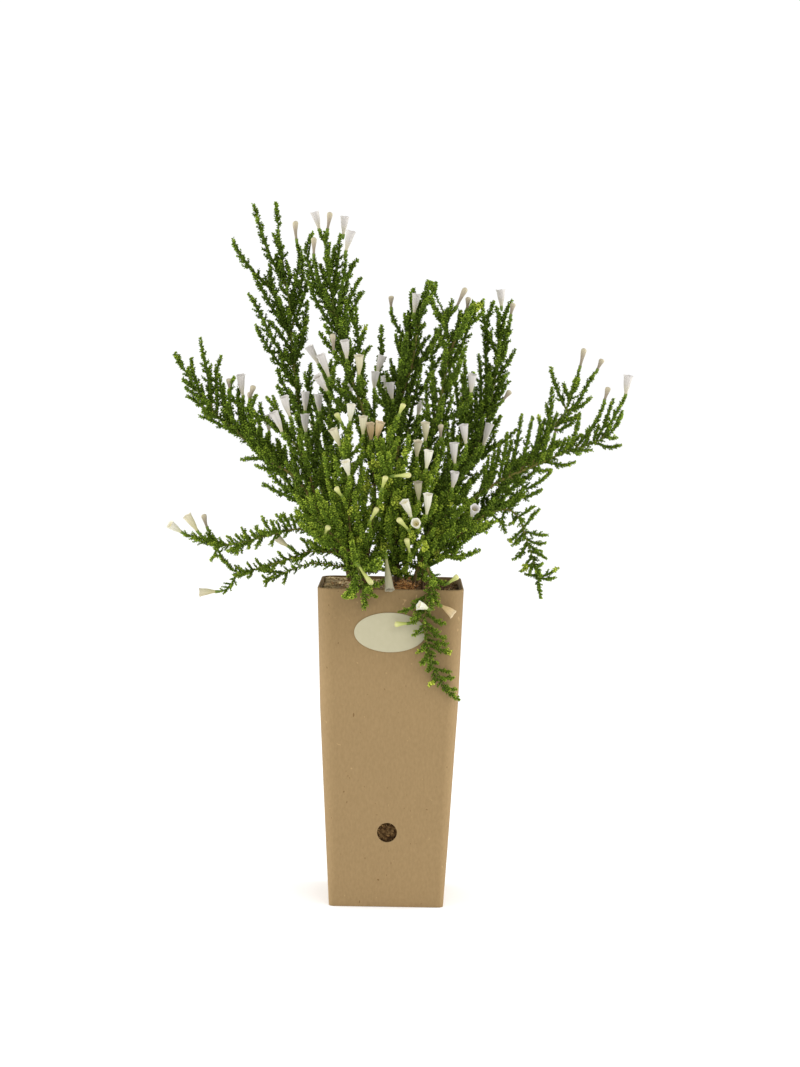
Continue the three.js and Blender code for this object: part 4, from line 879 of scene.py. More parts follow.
# Shoots whose course shows clearly from the front: x and z of their points, from foot to tip.
courses = {
    "tall_left": [
        [(-83, 460), (-88, 474), (-95, 485), (-100, 498), (-104, 511), (-108, 524)],
        [(-80, 422), (-86, 440), (-91, 455), (-94, 468), (-95, 480)],
        [(-90, 456), (-97, 465), (-103, 469), (-110, 476), (-117, 485), (-121, 491), (-123, 498)],
        [(-84, 432), (-92, 445), (-99, 457), (-104, 465), (-107, 472)],
        [(-77, 400), (-84, 411), (-90, 419), (-95, 428), (-100, 438), (-105, 448), (-111, 458)],
        [(-77, 412), (-84, 424), (-90, 431), (-96, 437)],
        [(-74, 384), (-80, 395), (-86, 403), (-92, 412), (-99, 421), (-105, 433)],
        [(-72, 370), (-79, 381), (-84, 389), (-88, 400)], [(-71, 362), (-80, 374), (-85, 382), (-89, 389)],
        [(-77, 405), (-71, 418), (-69, 428), (-66, 441)],
        [(-79, 438), (-74, 452), (-71, 463), (-70, 476), (-70, 486)],
        [(-79, 446), (-77, 460), (-74, 474), (-72, 485), (-75, 496)], [(-82, 462), (-80, 470), (-83, 482)],
    ],
    "crown_left": [
        [(-49, 440), (-58, 458), (-64, 474), (-68, 489), (-66, 497), (-63, 503)],
        [(-48, 452), (-56, 463), (-60, 475), (-62, 485)],
        [(-48, 452), (-46, 466), (-44, 480), (-43, 492), (-42, 503)],
        [(-46, 438), (-42, 455), (-39, 470), (-38, 488)], [(-50, 470), (-48, 480), (-47, 493)],
        [(-45, 430), (-41, 448), (-37, 466), (-34, 477), (-30, 484)],
        [(-42, 424), (-40, 438), (-35, 452), (-30, 464), (-26, 471)],
        [(-38, 410), (-37, 430), (-32, 446), (-28, 455), (-24, 460)],
        [(-43, 424), (-50, 436), (-57, 447), (-62, 457), (-65, 466)],
        [(-36, 402), (-46, 414), (-53, 423), (-57, 428)], [(-33, 396), (-27, 406), (-22, 414), (-18, 419)],
        [(-35, 402), (-31, 412), (-26, 422), (-23, 430), (-22, 434)],
    ],
    "left_arm": [
        [(-146, 380), (-150, 391), (-153, 400), (-153, 409)],
        [(-137, 369), (-139, 385), (-141, 397), (-144, 408), (-147, 423)],
        [(-138, 372), (-139, 388), (-140, 402)],
        [(-132, 364), (-134, 380), (-135, 392), (-133.5, 402), (-131.3, 410.5)],
        [(-126, 358), (-129, 375), (-131, 387), (-132.5, 396)],
        [(-121, 354), (-126, 368), (-129, 380), (-129.6, 387)],
        [(-117, 351), (-123, 366), (-125, 377), (-123, 388), (-121.4, 396)],
        [(-112, 347), (-116, 362), (-118, 376), (-116.7, 390)],
        [(-108, 343), (-112, 358), (-114, 370), (-114, 378)], [(-104, 340), (-108, 355), (-110.6, 374)],
        [(-95, 360), (-100, 366), (-101.3, 375)], [(-82, 352), (-90, 371), (-94, 376), (-97.3, 381)],
        [(-80, 350), (-86, 364), (-89, 373), (-91.5, 380)],
        [(-136, 367), (-144, 376), (-150, 380), (-155, 383), (-158.3, 386)],
        [(-130, 362), (-141, 368), (-147, 373), (-152, 377), (-157, 380.5)],
        [(-119, 352), (-130, 357), (-137, 361), (-142, 363), (-147, 366)],
        [(-94, 331), (-104, 333), (-110, 332), (-115.5, 334.5)],
        [(-78, 321), (-91, 324), (-98, 325.5), (-104, 327.5)], [(-98, 335), (-101.5, 347), (-101, 357)],
        [(-94, 332), (-98, 343), (-97, 351)], [(-90, 330), (-94, 341), (-95, 350)],
        [(-85, 326), (-90, 337), (-91, 344)], [(-82, 324), (-87, 338), (-88.6, 348.5)],
        [(-76, 320), (-81, 332), (-82, 343)],
        [(-60, 298), (-68, 300), (-76, 303), (-84, 306.5), (-92, 310), (-98, 314)],
    ],
    "right_tall": [
        [(66, 352), (65.5, 380), (65.5, 395), (65, 405), (63, 415)],
        [(73, 378), (70, 398), (69, 410), (68, 420), (68.5, 428)],
        [(75, 390), (82, 403), (87, 410), (92, 419)], [(72, 374), (79, 389), (83, 396), (86, 402)],
        [(72, 412), (71, 425), (68, 436), (66, 444), (66, 454)],
        [(71, 420), (69, 430), (69, 439), (72, 448), (75, 454)], [(78, 430), (78.5, 441), (76, 450)],
        [(79, 424), (81, 435), (83, 444), (85, 450), (87.5, 455)],
        [(80, 412), (84, 426), (86, 436), (87, 443)], [(78, 404), (82, 414), (84.5, 423)],
        [(66, 366), (72, 370), (77, 375), (82, 379)], [(72, 424), (69, 429), (65, 435)],
        [(60, 350), (62, 370), (62, 389)],
    ],
    "right_arm": [
        [(158, 351), (163, 361), (168, 371), (172, 378), (175, 384.5)],
        [(131, 372), (134, 384), (137.5, 395), (140, 405)],
        [(153, 348), (157, 356), (160, 364), (163, 373), (166, 382)],
        [(139, 345), (144, 352), (150, 360), (155, 368), (158, 375), (159, 380)],
        [(131, 341), (136, 350), (139, 360), (141, 370)], [(133, 342), (137, 349), (142, 355)],
        [(127, 340), (132, 347), (133.5, 354)],
        [(131, 372), (127, 380), (123, 389), (120, 398), (118.5, 406)],
        [(104, 329), (110, 342), (115, 354), (118, 366), (119, 378), (119.3, 390)],
        [(108, 331), (113, 340), (116, 350), (117, 357)],
        [(132, 370), (138, 376), (142, 384), (146, 392), (150, 399), (153, 403)],
        [(131, 372), (138, 374), (143, 377), (147, 381), (149.5, 384)],
        [(121, 361), (128, 364), (135, 366), (141, 369)], [(119, 358), (125, 357), (131, 361), (137, 364)],
        [(152, 348), (158, 347), (164, 345), (170, 346.5), (174, 349)],
        [(133, 342), (140, 342.5), (147, 343), (152, 346)],
        [(112, 332.5), (119, 333.5), (127, 331), (133, 332), (139, 335)],
        [(104, 329), (111, 326.5), (116, 327), (121, 331)],
        [(88, 321), (102, 313), (108, 316), (114, 320.5), (118, 324), (121.5, 328)],
        [(78, 316), (97, 306), (104, 308), (109, 310), (114, 312.5)],
        [(88, 322), (92, 337), (94, 350), (95.5, 360), (97, 369)],
        [(97, 326), (100, 340), (102, 352), (104, 362), (106, 368)],
        [(101, 328), (106, 341), (110, 352), (111, 360), (110.3, 369)],
        [(80, 318), (83, 332), (85, 343), (86.7, 355)], [(84, 320), (87, 335), (89.6, 350)],
        [(73, 312), (77, 328), (80, 340), (81, 348)], [(69, 309), (74, 325), (76.8, 341)],
        [(66, 307), (70, 322), (72.3, 337)],
    ],
    "center_tall": [
        [(12, 400), (17, 414), (21, 421), (26, 427.5)], [(6, 404), (5, 416), (4, 427)],
        [(15, 400), (22, 409), (28, 419), (32, 427), (30, 433)],
        [(14, 372), (23, 388), (27, 400), (33, 408), (39, 415)], [(18, 428), (20, 433), (22.3, 436.5)],
    ],
    "center_right": [
        [(38, 430), (38, 438), (40.5, 446), (42, 450), (43, 455)],
        [(38, 436), (41, 443), (45, 447), (46, 449)], [(42, 405), (46, 424), (47, 433), (50, 441), (54, 447)],
        [(41, 398), (51, 420), (54, 431), (58, 441), (63, 452)], [(41, 405), (40, 412), (37, 420), (34, 428)],
        [(20, 308), (28, 318), (34, 328), (38, 344)], [(20, 300), (32, 310), (39, 320), (43, 334)],
    ],
    "low_left": [
        [(-79, 280), (-83, 285), (-88, 290.5)], [(-88, 277), (-90, 282), (-92.5, 286)],
        [(-92, 277), (-95, 282), (-99, 288)], [(-84, 278), (-86, 282), (-88, 285.5)],
        [(-100, 275), (-102, 278), (-104, 282)], [(-103, 273), (-105, 275.5), (-107.6, 278)],
        [(-108, 271), (-111, 275), (-115, 280)], [(-114, 270), (-116, 272), (-118.6, 274.6)],
        [(-119, 269), (-122, 271), (-124.7, 273)], [(-127, 267), (-129, 269), (-130.8, 272)],
        [(-113, 270), (-116, 265), (-119, 259.7)], [(-106, 271), (-108, 267), (-109.6, 263.6)],
        [(-99, 274), (-101, 269), (-102.6, 265.4)], [(-88, 276), (-90, 271), (-91.2, 266.7)],
        [(-78, 279), (-80, 276), (-81.5, 273.4)], [(-131, 266), (-134, 260), (-138, 254)],
        [(-76, 280), (-80, 286), (-84, 290)], [(-72, 281), (-75, 286), (-77.4, 291)],
        [(-112, 246), (-115, 248), (-118.7, 251)], [(-104, 248), (-107, 250), (-110.3, 252.7)],
        [(-98, 249), (-100, 252), (-103.2, 256)], [(-81, 257), (-84, 259), (-86.5, 261)],
        [(-72, 260), (-75, 264), (-78.6, 267)], [(-62, 264), (-65, 269), (-69.4, 273)],
        [(-94, 240), (-96, 242), (-98, 244)], [(-94, 240), (-95, 237), (-96, 235)],
        [(-86, 254), (-89, 251), (-91, 248)],
        [(-117, 245), (-119.5, 240), (-122, 236), (-125, 232.5), (-132, 231)],
    ],
    "front_left": [
        [(-31, 270), (-26, 282), (-22, 296), (-20, 308), (-19, 318)],
        [(-30, 262), (-23, 274), (-18, 288), (-15, 300), (-14, 312)],
        [(-27, 258), (-19, 266), (-13, 278), (-11, 290), (-10, 302)],
        [(-26, 252), (-17, 258), (-11, 266), (-8, 277)], [(-28, 300), (-25, 312), (-24, 324), (-25, 334)],
        [(-29, 266), (-25, 276), (-21, 287), (-20, 297)], [(-28, 262), (-21, 268), (-17, 276), (-16, 284)],
        [(-27, 292), (-22, 303), (-19, 312), (-20, 324)], [(-30, 282), (-26, 296), (-23, 308), (-24, 320)],
        [(-26, 250), (-30, 247), (-33, 244)], [(-25, 254), (-20, 250), (-14, 248), (-9, 250)],
    ],
    "front_bush": [
        [(4, 262), (-3, 272), (-7, 284), (-9, 298), (-9, 310)],
        [(3, 272), (-2, 286), (-4, 300), (-5, 312), (-4, 322)], [(2, 285), (4, 300), (7, 312), (8, 322)],
        [(8, 268), (14, 276), (20, 284), (24, 292)], [(2, 256), (-5, 260), (-10, 266), (-13, 274)],
        [(10, 276), (16, 270), (23, 272), (29, 277)], [(8, 258), (14, 254), (19, 252), (25, 254)],
        [(5, 250), (12, 246), (18, 244), (23, 246)], [(22, 310), (28, 320), (32, 329), (34, 338)],
        [(-2, 330), (-6, 340), (-10, 350)], [(6, 262), (14, 261), (22, 262), (30, 266)],
        [(3, 292), (-3, 300), (-8, 308), (-12, 318)], [(2, 268), (-4, 275), (-9, 280), (-14, 290)],
    ],
    "right_low": [
        [(95, 291), (99, 293.5), (103, 296.5), (108, 300)],
        [(99, 283), (102, 286), (105, 290), (108, 294), (111, 298)],
        [(100, 281), (104, 280), (109, 278.5), (114, 278), (119.5, 278)],
        [(103, 275), (108, 272), (112, 271.3), (117.3, 272.3)],
        [(105, 267), (110, 264.5), (115, 261.8), (118.5, 259.5)],
        [(112, 247), (116, 247), (120, 248.5), (123.5, 250.5), (127, 253.5)],
        [(112, 246), (116, 244.6), (121, 245), (125.3, 246)], [(110, 252), (112, 254), (115.2, 256.6)],
        [(108, 261), (105, 259), (101, 254)], [(109, 256), (104, 254), (98, 250)],
        [(111, 250), (107, 247), (102, 248)], [(103, 272), (100, 266), (96.5, 261.5), (92.5, 258.5)],
        [(99, 283), (95, 277.5), (91, 274), (87, 274.5)], [(84, 297), (83.5, 289), (84.5, 284), (86, 280.7)],
        [(94, 291), (92, 287.5), (89, 285.5)],
    ],
}


def placeSeen(x, z, y):  # the point at depth y that shows at x and z from the front
    far = 1 + y / eye["distance"]
    return np.array([eye["x"] + (x - eye["x"]) * far, y, eye["z"] + (z - eye["z"]) * far])


def placeOf(spray, place):
    x, depth, z = place
    return placeSeen(x, z, depth + spray["lean"] * max(0, z - pot["height"]) / (leanHeight - pot["height"]))


def smoothLine(points, steps=6):
    line = []
    for i in range(len(points) - 1):
        a, b, c, d = (points[min(max(k, 0), len(points) - 1)] for k in (i - 1, i, i + 1, i + 2))
        for k in range(steps):
            t = k / steps
            line.append(0.5 * (2 * b + (c - a) * t + (2 * a - 5 * b + 4 * c - d) * t**2
                               + (3 * b - a - 3 * c + d) * t**3))
    return np.array(line + [points[-1]])


def runOf(line):
    return np.concatenate([[0], np.cumsum(np.linalg.norm(np.diff(line, axis=0), axis=1))])


def along(line, distances):  # the points of a line at these distances, with the directions there
    run = runOf(line)
    ways = unit(np.gradient(line, run, axis=0))
    at = [np.stack([np.interp(distances, run, row[:, k]) for k in range(3)], -1) for row in (line, ways)]
    return at[0], unit(at[1])


def bendLine(foot, leaving, tip, ending, steps):
    reach = np.linalg.norm(tip - foot) * 0.36
    a, b = foot + leaving * reach, tip - ending * reach
    t = np.linspace(0, 1, steps + 1)[:, None]
    return foot * (1 - t)**3 + a * 3 * t * (1 - t)**2 + b * 3 * t**2 * (1 - t) + tip * t**3


# Room: what is already taken, so that shoots keep clear of other sprays, of flowers and of the pot

taken = {"points": np.zeros((0, 3)), "radius": np.zeros(0), "owner": np.zeros(0, int)}


def takeHead(foot, head, radius, owner):  # a flower is slim at its foot
    points = stepsOf(np.array([foot, head]), 1)
    share = np.linalg.norm(points - foot, axis=1) / np.linalg.norm(head - foot)
    take(points, mix(1.0, radius, smooth(0.1, 0.65, share)), owner)


def take(points, radius, owner):
    taken["points"] = np.concatenate([taken["points"], points])
    taken["radius"] = np.concatenate([taken["radius"], np.full(len(points), radius)])
    taken["owner"] = np.concatenate([taken["owner"], np.full(len(points), owner)])


def meetsPot(points, radius):
    clear = radius + room["air"]
    far = np.abs(points[:, :2]).max(1)
    z = points[:, 2]
    wall = widthAt(z) / 2
    outside = (far > wall) & (far < wall + 0.3 + label["thick"] + clear)
    inside = (far <= wall) & ((far > wall - pot["wall"] - clear) | (z < soil["top"] + soil["lump"] + radius))
    return (z <= pot["height"] + clear) & (outside | inside)


def crowded(points, radius, owner):
    if meetsPot(points, radius).any():
        return True
    other = taken["owner"] != owner
    gaps = np.linalg.norm(points[:, None] - taken["points"][other], axis=-1)
    return bool((gaps < radius + taken["radius"][other] + room["air"]).any())


def stepsOf(line, start=0.0):
    total = runOf(line)[-1]
    return along(line, np.arange(start, total, room["step"]))[0] if total > start else line[-1:]


def addFeet(plant, line, start):
    points, ways = along(line, np.arange(start, runOf(line)[-1] - 1, footing["apart"]))
    if len(points):
        plant["feet"] = np.concatenate([plant["feet"], points])
        plant["ways"] = np.concatenate([plant["ways"], ways])


def woodWay(plant, points):  # the direction of the nearest wood
    woodPoints, woodWays = plant["woodPoints"], plant["woodWays"]
    return woodWays[np.linalg.norm(points[:, None] - woodPoints, axis=-1).argmin(1)]


def seenFromFront(points):  # x and z as they show from the front, as in the places above
    far = 1 + points[:, 1] / eye["distance"]
    x, z = eye["x"] + (points[:, 0] - eye["x"]) / far, eye["z"] + (points[:, 2] - eye["z"]) / far
    return np.stack([x, z], -1)


def isBare(points):
    x, z = seenFromFront(points).T
    bare = np.any([(x > a) & (x < b) & (z < top) for a, b, top in barePlaces], axis=0)
    return bare & (points[:, 1] > bareDepth)


def isOpen(points):
    flat = seenFromFront(points)
    clear = np.any([np.linalg.norm(flat - place[:2], axis=1) < place[2] for place in openPlaces], axis=0)
    return clear | isBare(points)


# Grows one shoot to its tip, and says where it runs, or None where there is no room.
def growShoot(plant, tip, head=None, headRadius=0.0, airy=False):
    aim = flowerAim if head is not None else plant["aim"]
    to = tip - plant["feet"]
    far = np.linalg.norm(to, axis=1)
    way = to / np.maximum(far, 1e-6)[:, None]
    facing = np.linalg.norm(np.cross(plant["ways"], way), axis=1)
    wood = woodWay(plant, plant["feet"])
    off = np.abs(np.degrees(np.arccos(np.clip((wood * way).sum(1), -1, 1))) - aim["spread"])
    cost = far + off * aim["weight"] - facing * footing["sideways"]
    cost = np.where((facing > footing["facing"]) & (far > footing["nearest"]), cost, np.inf)
    for index in np.argsort(cost)[:footing["tries"]]:
        if not np.isfinite(cost[index]):
            break
        foot, to, stem = plant["feet"][index], way[index], plant["ways"][index]
        ending = unit(head - tip) if head is not None else unit(mix(to, np.array([0, 0, 1.0]), 0.3))
        leaving = unit(mix(mix(to, squareTo(stem, to), 0.3), wood[index], 0.2))
        line = bendLine(foot, leaving, tip, ending, twig["steps"])
        mine = stepsOf(line, room["freeFoot"])
        if crowded(mine, room["shoot"], plant["owner"]) or (airy and isOpen(mine).mean() > openShare):
            continue
        take(mine, room["shoot"], plant["owner"])
        if head is not None:
            takeHead(tip, head, headRadius, plant["owner"] + 1)
        if plant["name"] not in stalky:
            addFeet(plant, line, footing["onShoot"])
        plant["shoots"].append({"line": line, "airy": airy})
        return line
    return None


ended = []  # where the courses end, as seen from the front
endsNear = {"listed": 3.5, "grown": 5}  # how near a course's end has to be to a tip to stand for it


def nearestSeen(points, x, z):
    return points[np.linalg.norm(seenFromFront(points) - [x, z], axis=1).argmin()]


def growCourse(plant, spray, course):  # a shoot along one of the courses, from the nearest wood to its tip
    draw = drawsFrom(int(abs(course[0][0]) * 7 + course[-1][1] * 13))
    foot = nearestSeen(np.concatenate([plant["woodPoints"]] + plant["courses"]), *course[0])
    ends = [placeOf(spray, place) for place in spray["tips"]] + [placeOf(spray, f[0]) for f in plant["heads"]]
    tip = nearestSeen(np.array(ends), *course[-1])
    listed = np.linalg.norm(seenFromFront(tip[None])[0] - course[-1]) < endsNear["listed"]
    depth = tip[1] if listed else foot[1] + (draw() - 0.5) * 12
    flat = np.array(course, float)
    share = runOf(flat) / runOf(flat)[-1]
    points = [foot] + [placeSeen(x, z, mix(foot[1], depth, s)) for (x, z), s in zip(course[1:], share[1:])]
    if listed:
        points[-1] = tip
    line = smoothLine(points)
    line = along(line, np.linspace(0, runOf(line)[-1], twig["steps"] + 1))[0]
    take(stepsOf(line, room["freeFoot"]), room["shoot"], plant["owner"])
    plant["courses"].append(stepsOf(line, 4))
    plant["shoots"].append({"line": line, "airy": False})
    ended.append(seenFromFront(line[-1:])[0])


def hasShoot(tip):  # whether one of the courses ends here
    return any(np.linalg.norm(end - seenFromFront(tip[None])[0]) < endsNear["grown"] for end in ended)


def growWood(name, spray, owner):
    wood = []
    for route in spray["routes"]:
        points = [placeOf(spray, place) for place in route]
        if wood:  # a fork starts on its stem
            points[0] = wood[0][np.linalg.norm(wood[0] - points[0], axis=1).argmin()]
        wood.append(smoothLine(points))
    plant = {"name": name, "wood": wood, "owner": owner, "aim": spray.get("aim", leafAim), "shoots": [],
             "feet": np.zeros((0, 3)), "ways": np.zeros((0, 3)), "flowers": [], "buds": [],
             "heads": spray["blooms"] + spray["buds"], "courses": []}
    at = [along(line, np.arange(0, runOf(line)[-1], 3)) for line in wood]
    plant["woodPoints"] = np.concatenate([points for points, _ in at])
    plant["woodWays"] = np.concatenate([ways for _, ways in at])
    for i, line in enumerate(wood):
        total = runOf(line)[-1]
        addFeet(plant, line, (footing["onFork"] if i else spray["leafyFrom"]) * total)
        take(stepsOf(line, room["freeStem"]), room["bough"], owner)
    return plant


def growFillers(plant, spray):  # a shoot every so often along each stem, a golden angle round from the last
    draw = drawsFrom(spray["seed"])
    for i, line in enumerate(plant["wood"]):
        total = runOf(line)[-1]
        angle = draw() * 360
        s = (filler["from"] if i else spray["leafyFrom"]) * total
        while s < total * filler["upTo"]:
            angle += filler["turn"]
            reach = mix(filler["length"], filler["shortest"], s / total) * (0.75 + 0.5 * draw())
            point, way = (v[0] for v in along(line, np.array([s])))
            side = squareTo(way, np.array([0, 1.0, 0]))
            for turn in filler["tries"]:
                a, lean = math.radians(angle + turn), math.radians(filler["lean"])
                out = side * math.cos(a) + np.cross(way, side) * math.sin(a)
                to = unit(way * math.cos(lean) + out * math.sin(lean) + [0, 0, filler["lift"]])
                if growShoot(plant, point + to * reach, airy=True) is not None:
                    break
            s += filler["spacing"] * (0.8 + 0.4 * draw())


plants = {name: growWood(name, spray, i * 2) for i, (name, spray) in enumerate(sprays.items())}
missed = []
for name, spray in sprays.items():
    for course in courses.get(name, []):
        growCourse(plants[name], spray, course)
for name, spray in sprays.items():
    for kind, listed, radius in (("flowers", "blooms", room["bloom"]), ("buds", "buds", room["bud"])):
        for foot, head in spray[listed]:
            foot, head = placeOf(spray, foot), placeOf(spray, head)
            plants[name][kind].append((foot, head))
            if hasShoot(foot):
                takeHead(foot, head, radius, plants[name]["owner"] + 1)
            elif growShoot(plants[name], foot, head, radius) is None:
                missed.append((name, kind, [round(float(c)) for c in foot]))
for name, spray in sprays.items():
    for place in spray["tips"] + fillTips.get(name, []):
        tip = placeOf(spray, place)
        if not hasShoot(tip) and growShoot(plants[name], tip) is None:
            missed.append((name, "tip", [round(float(c)) for c in seenFromFront(tip[None])[0]]))
for name, spray in sprays.items():
    growFillers(plants[name], spray)
print("grown:", sum(len(p["shoots"]) for p in plants.values()), "shoots, and no room for", missed)


# Foliage: short shoots stand out all along the wood and the shoots, and scale leaves cover everything green

short = {
    "from": 3.0, "nearTip": 1.5, "spacing": 2.3, "least": 2.4, "most": 6.0, "lean": (40, 60),
    "leafSpacing": 0.72, "core": 1.1, "tipYoung": (0.22, 1.6), "limePlump": 0.3,
}
leaf = {
    "length": 2.42, "width": 2.8, "thick": 1.0, "spacing": 0.5, "onWood": 1.2, "tilt": (35, 55),
    "turn": 137.5, "start": (0.25, 0.93, 0.27), "core": 1.15, "tipYoung": (0.26, 5),
}
# Further side shoots along the wood: lift bends them up, room is what they keep to flowers, onWood and
# scale make short shoots and leaves smaller, and stout makes the wood thicker or thinner.
growth = {
    "tries": (0, 60, -60, 120), "spacing": 8.5, "length": 46, "shortest": 16, "lean": 24, "lift": 0.5,
    "room": 2.4, "thick": 0.7, "reachOver": 28, "onWood": 1.2, "scale": 1, "flat": 1, "apart": 1, "stout": 1,
    "woodLeaf": 1,
}
growthOf = {  # where a stem differs from that
    "tall_left": {"spacing": 12, "length": 30, "shortest": 12, "thick": 0.8, "reachOver": 26, "onWood": 1.1},
    "crown_left": {"spacing": 10, "length": 34, "shortest": 14, "lean": 20, "thick": 0.8, "onWood": 1.1},
    "left_arm": {"length": 24, "shortest": 12, "lean": 30, "lift": 1.4, "thick": 0.8, "reachOver": 32,
        "onWood": 0.9},
    "low_left": {"spacing": 22, "length": 12, "shortest": 7, "lean": 50, "lift": 0.2, "room": 2, "thick": 1,
        "reachOver": 14, "onWood": 0.8, "scale": 0.76, "flat": 0.5, "apart": 0.9, "stout": 0.55,
        "woodLeaf": 1.35},
    "front_droop": {"spacing": 15, "length": 12, "shortest": 7, "lean": 60, "lift": 0, "room": 2,
        "thick": 1, "reachOver": 20, "onWood": 0.85, "scale": 0.8, "flat": 0.6, "apart": 0.8, "stout": 0.7,
        "woodLeaf": 1.2},
    "right_low": {"spacing": 13, "length": 13, "shortest": 8, "lean": 58, "lift": 0, "room": 2, "thick": 1,
        "reachOver": 24, "onWood": 0.75, "scale": 0.8, "flat": 0.6, "apart": 0.85, "stout": 0.7,
        "woodLeaf": 1.2},
    "right_arm": {"spacing": 11, "length": 22, "shortest": 12, "lean": 26, "lift": 2.4, "thick": 1,
        "reachOver": 42, "onWood": 0.7, "scale": 0.92, "apart": 0.9},
}
# Places, as seen from the front, where the growth is young and lime green: x, z and radius.
limePlaces = [
    (63, 450, 4), (91, 415, 5), (110, 369, 4), (114, 228, 4), (88, 274, 4), (102, 253, 4), (127, 253, 4),
    (47, 188, 4.5), (20, 190, 5), (20, 183, 5), (30, 162, 4.5), (-23, 433, 4), (-14, 330, 5), (-4, 316, 5),
    (4, 302, 5), (-8, 296, 5), (6, 352, 4.5), (10, 338, 5), (-20, 314, 4.5), (14, 276, 4.5), (24, 268, 5),
    (34, 262, 4.5), (-6, 268, 4.5), (-24, 272, 4.5), (44, 300, 4.5), (-30, 296, 4.5), (38, 282, 4.5),
    (20, 254, 4.5),
]
# A scale leaf is keeled and has two corners and a tip.
leafPoints = np.array([(0, 0, 0.3), (0.6, 0.5, -0.4), (0.6, -0.5, -0.4), (0.97, 0, 0.15)])
leafFaces = np.array([(0, 2, 1), (1, 2, 3), (0, 1, 3), (0, 3, 2)])


def styleOf(name):
    return {**growth, **growthOf.get(name, {})}


def limeAt(points):
    flat = seenFromFront(points)
    lime = np.zeros(len(points))
    for x, z, radius in limePlaces:
        far = np.linalg.norm(flat - [x, z], axis=1)
        lime = np.maximum(lime, 1 - smooth(radius * 0.55, radius * 1.25, far))
    return lime * (1 - smooth(-12, 6, points[:, 1]))


def outOf(ways, start, angles):  # square to each way, and turned round it from start
    side = squareTo(ways, np.broadcast_to(start, ways.shape))
    return side * np.cos(angles)[:, None] + np.cross(ways, side) * np.sin(angles)[:, None]


def leafShapes(points, ways, angles, sizes, tilts, young, bright):
    out = outOf(ways, leaf["start"], angles)
    tilt = tilts[:, None]
    axis = ways * np.cos(tilt) + out * np.sin(tilt)
    keel = out * np.cos(tilt) - ways * np.sin(tilt)
    across = np.cross(axis, keel)
    scale = sizes[:, None]
    form = leafPoints * [1, leaf["width"] / leaf["length"], leaf["thick"] / leaf["length"]]
    shape = (form[:, 0, None] * (axis * scale)[:, None] + form[:, 1, None] * (across * scale)[:, None]
             + form[:, 2, None] * (keel * scale)[:, None])
    made = points[:, None] + shape
    u = young[:, None] + np.array([-0.1, 0.0, 0.0, 0.16])
    # Painted light on each leaf: v is lower at its base, as painted shade where it sits against the shoot, and
    # higher at its tip, as a painted highlight.
    v = bright[:, None] + np.array([-0.2, -0.04, -0.04, 0.14])
    offset = np.arange(len(points))[:, None, None] * len(leafPoints)
    return made, leafFaces + offset, np.clip(np.stack([u, v], -1), 0.01, 0.99)


def reachOfShort(fromTip, rng, onWood, style):
    share = min(fromTip / style["reachOver"], 1)
    reach = mix(short["least"], short["most"], share) * rng.uniform(0.6, 1.15)
    return reach * (style["onWood"] if onWood else 1)


def placeShorts(rng, line, start, end, onWood, style, seen):  # short shoots that turn round the line
    total = runOf(line)[-1]
    distances, reach = [], []
    s = start + rng.uniform(0, 2)
    while s < end:
        distances.append(s)
        reach.append(reachOfShort(total - s, rng, onWood, style))
        gap = mix(short["nearTip"], short["spacing"], smooth(0, 30, total - s)) * rng.uniform(0.75, 1.25)
        s += gap * style["apart"]
    if not distances:
        return None
    distances, reach = np.array(distances), np.array(reach)
    points, ways = along(line, distances)
    n = len(points)
    angles = np.radians(leaf["turn"]) * np.arange(n) + rng.uniform(0, 6.28) + rng.normal(size=n) * 0.35
    out = unit(outOf(ways, [0.0, 1.0, 0.0], angles) * [1, style["flat"], 1])
    lean = np.radians(mix(*short["lean"], smooth(2, 25, total - distances)) + rng.normal(size=n) * 5)[:, None]
    to = unit(ways * np.cos(lean) + out * np.sin(lean) + [0, 0, 0.12])
    return points, ways, to, reach, total - distances, np.full(n, seen)


def clearOfHeads(points, gap):  # away from flowers and buds, and from the pot
    heads = taken["owner"] % 2 == 1
    near = np.zeros(len(points), bool)
    for k in range(0, len(points), 400):
        far = np.linalg.norm(points[k:k + 400, None] - taken["points"][heads], axis=-1)
        near[k:k + 400] = (far < taken["radius"][heads] + gap).any(1)
    return ~near & ~meetsPot(points, 0.6)


clearHeads = {"flowers": 3.0, "buds": 1.7, "deepest": 40}  # radius kept clear before each, to that depth


def hidesHead(points):  # in front of a flower or a bud, as seen from the front
    flat, y = seenFromFront(points), points[:, 1]
    hides = np.zeros(len(points), bool)
    for plant in plants.values():
        for kind in ("flowers", "buds"):
            for foot, head in plant[kind]:
                if head[1] > clearHeads["deepest"]:
                    continue
                for share in (0.3, 0.5, 0.7, 0.9):
                    spot = mix(foot, head, share)
                    reach = clearHeads[kind] * mix(0.5, 1, share) + 0.5
                    near = np.linalg.norm(flat - seenFromFront(spot[None])[0], axis=1) < reach
                    hides |= near & (y < spot[1])
    return hides


def spacedFrom(start, end, total, widest, scale):  # closer and closer towards the tip
    places, s = [], start
    while s < end:
        places.append(s)
        s += mix(leaf["spacing"], widest, smooth(4, 26, total - s)) * scale
    return np.array(places)


def linesOf(plant, spray, style):  # line, where its leaves start, its foot's radius, wood or not, seen or not
    lines = []
    for i, line in enumerate(plant["wood"]):
        start = (0.06 if i else spray["leafyFrom"]) * runOf(line)[-1]
        lines.append((line, start, (woody["fork"] if i else woody["foot"]) * style["stout"], True, False))
    for shoot in plant["shoots"]:
        lines.append((shoot["line"], 2.5, twig["foot"], False, not shoot["airy"]))
    return lines


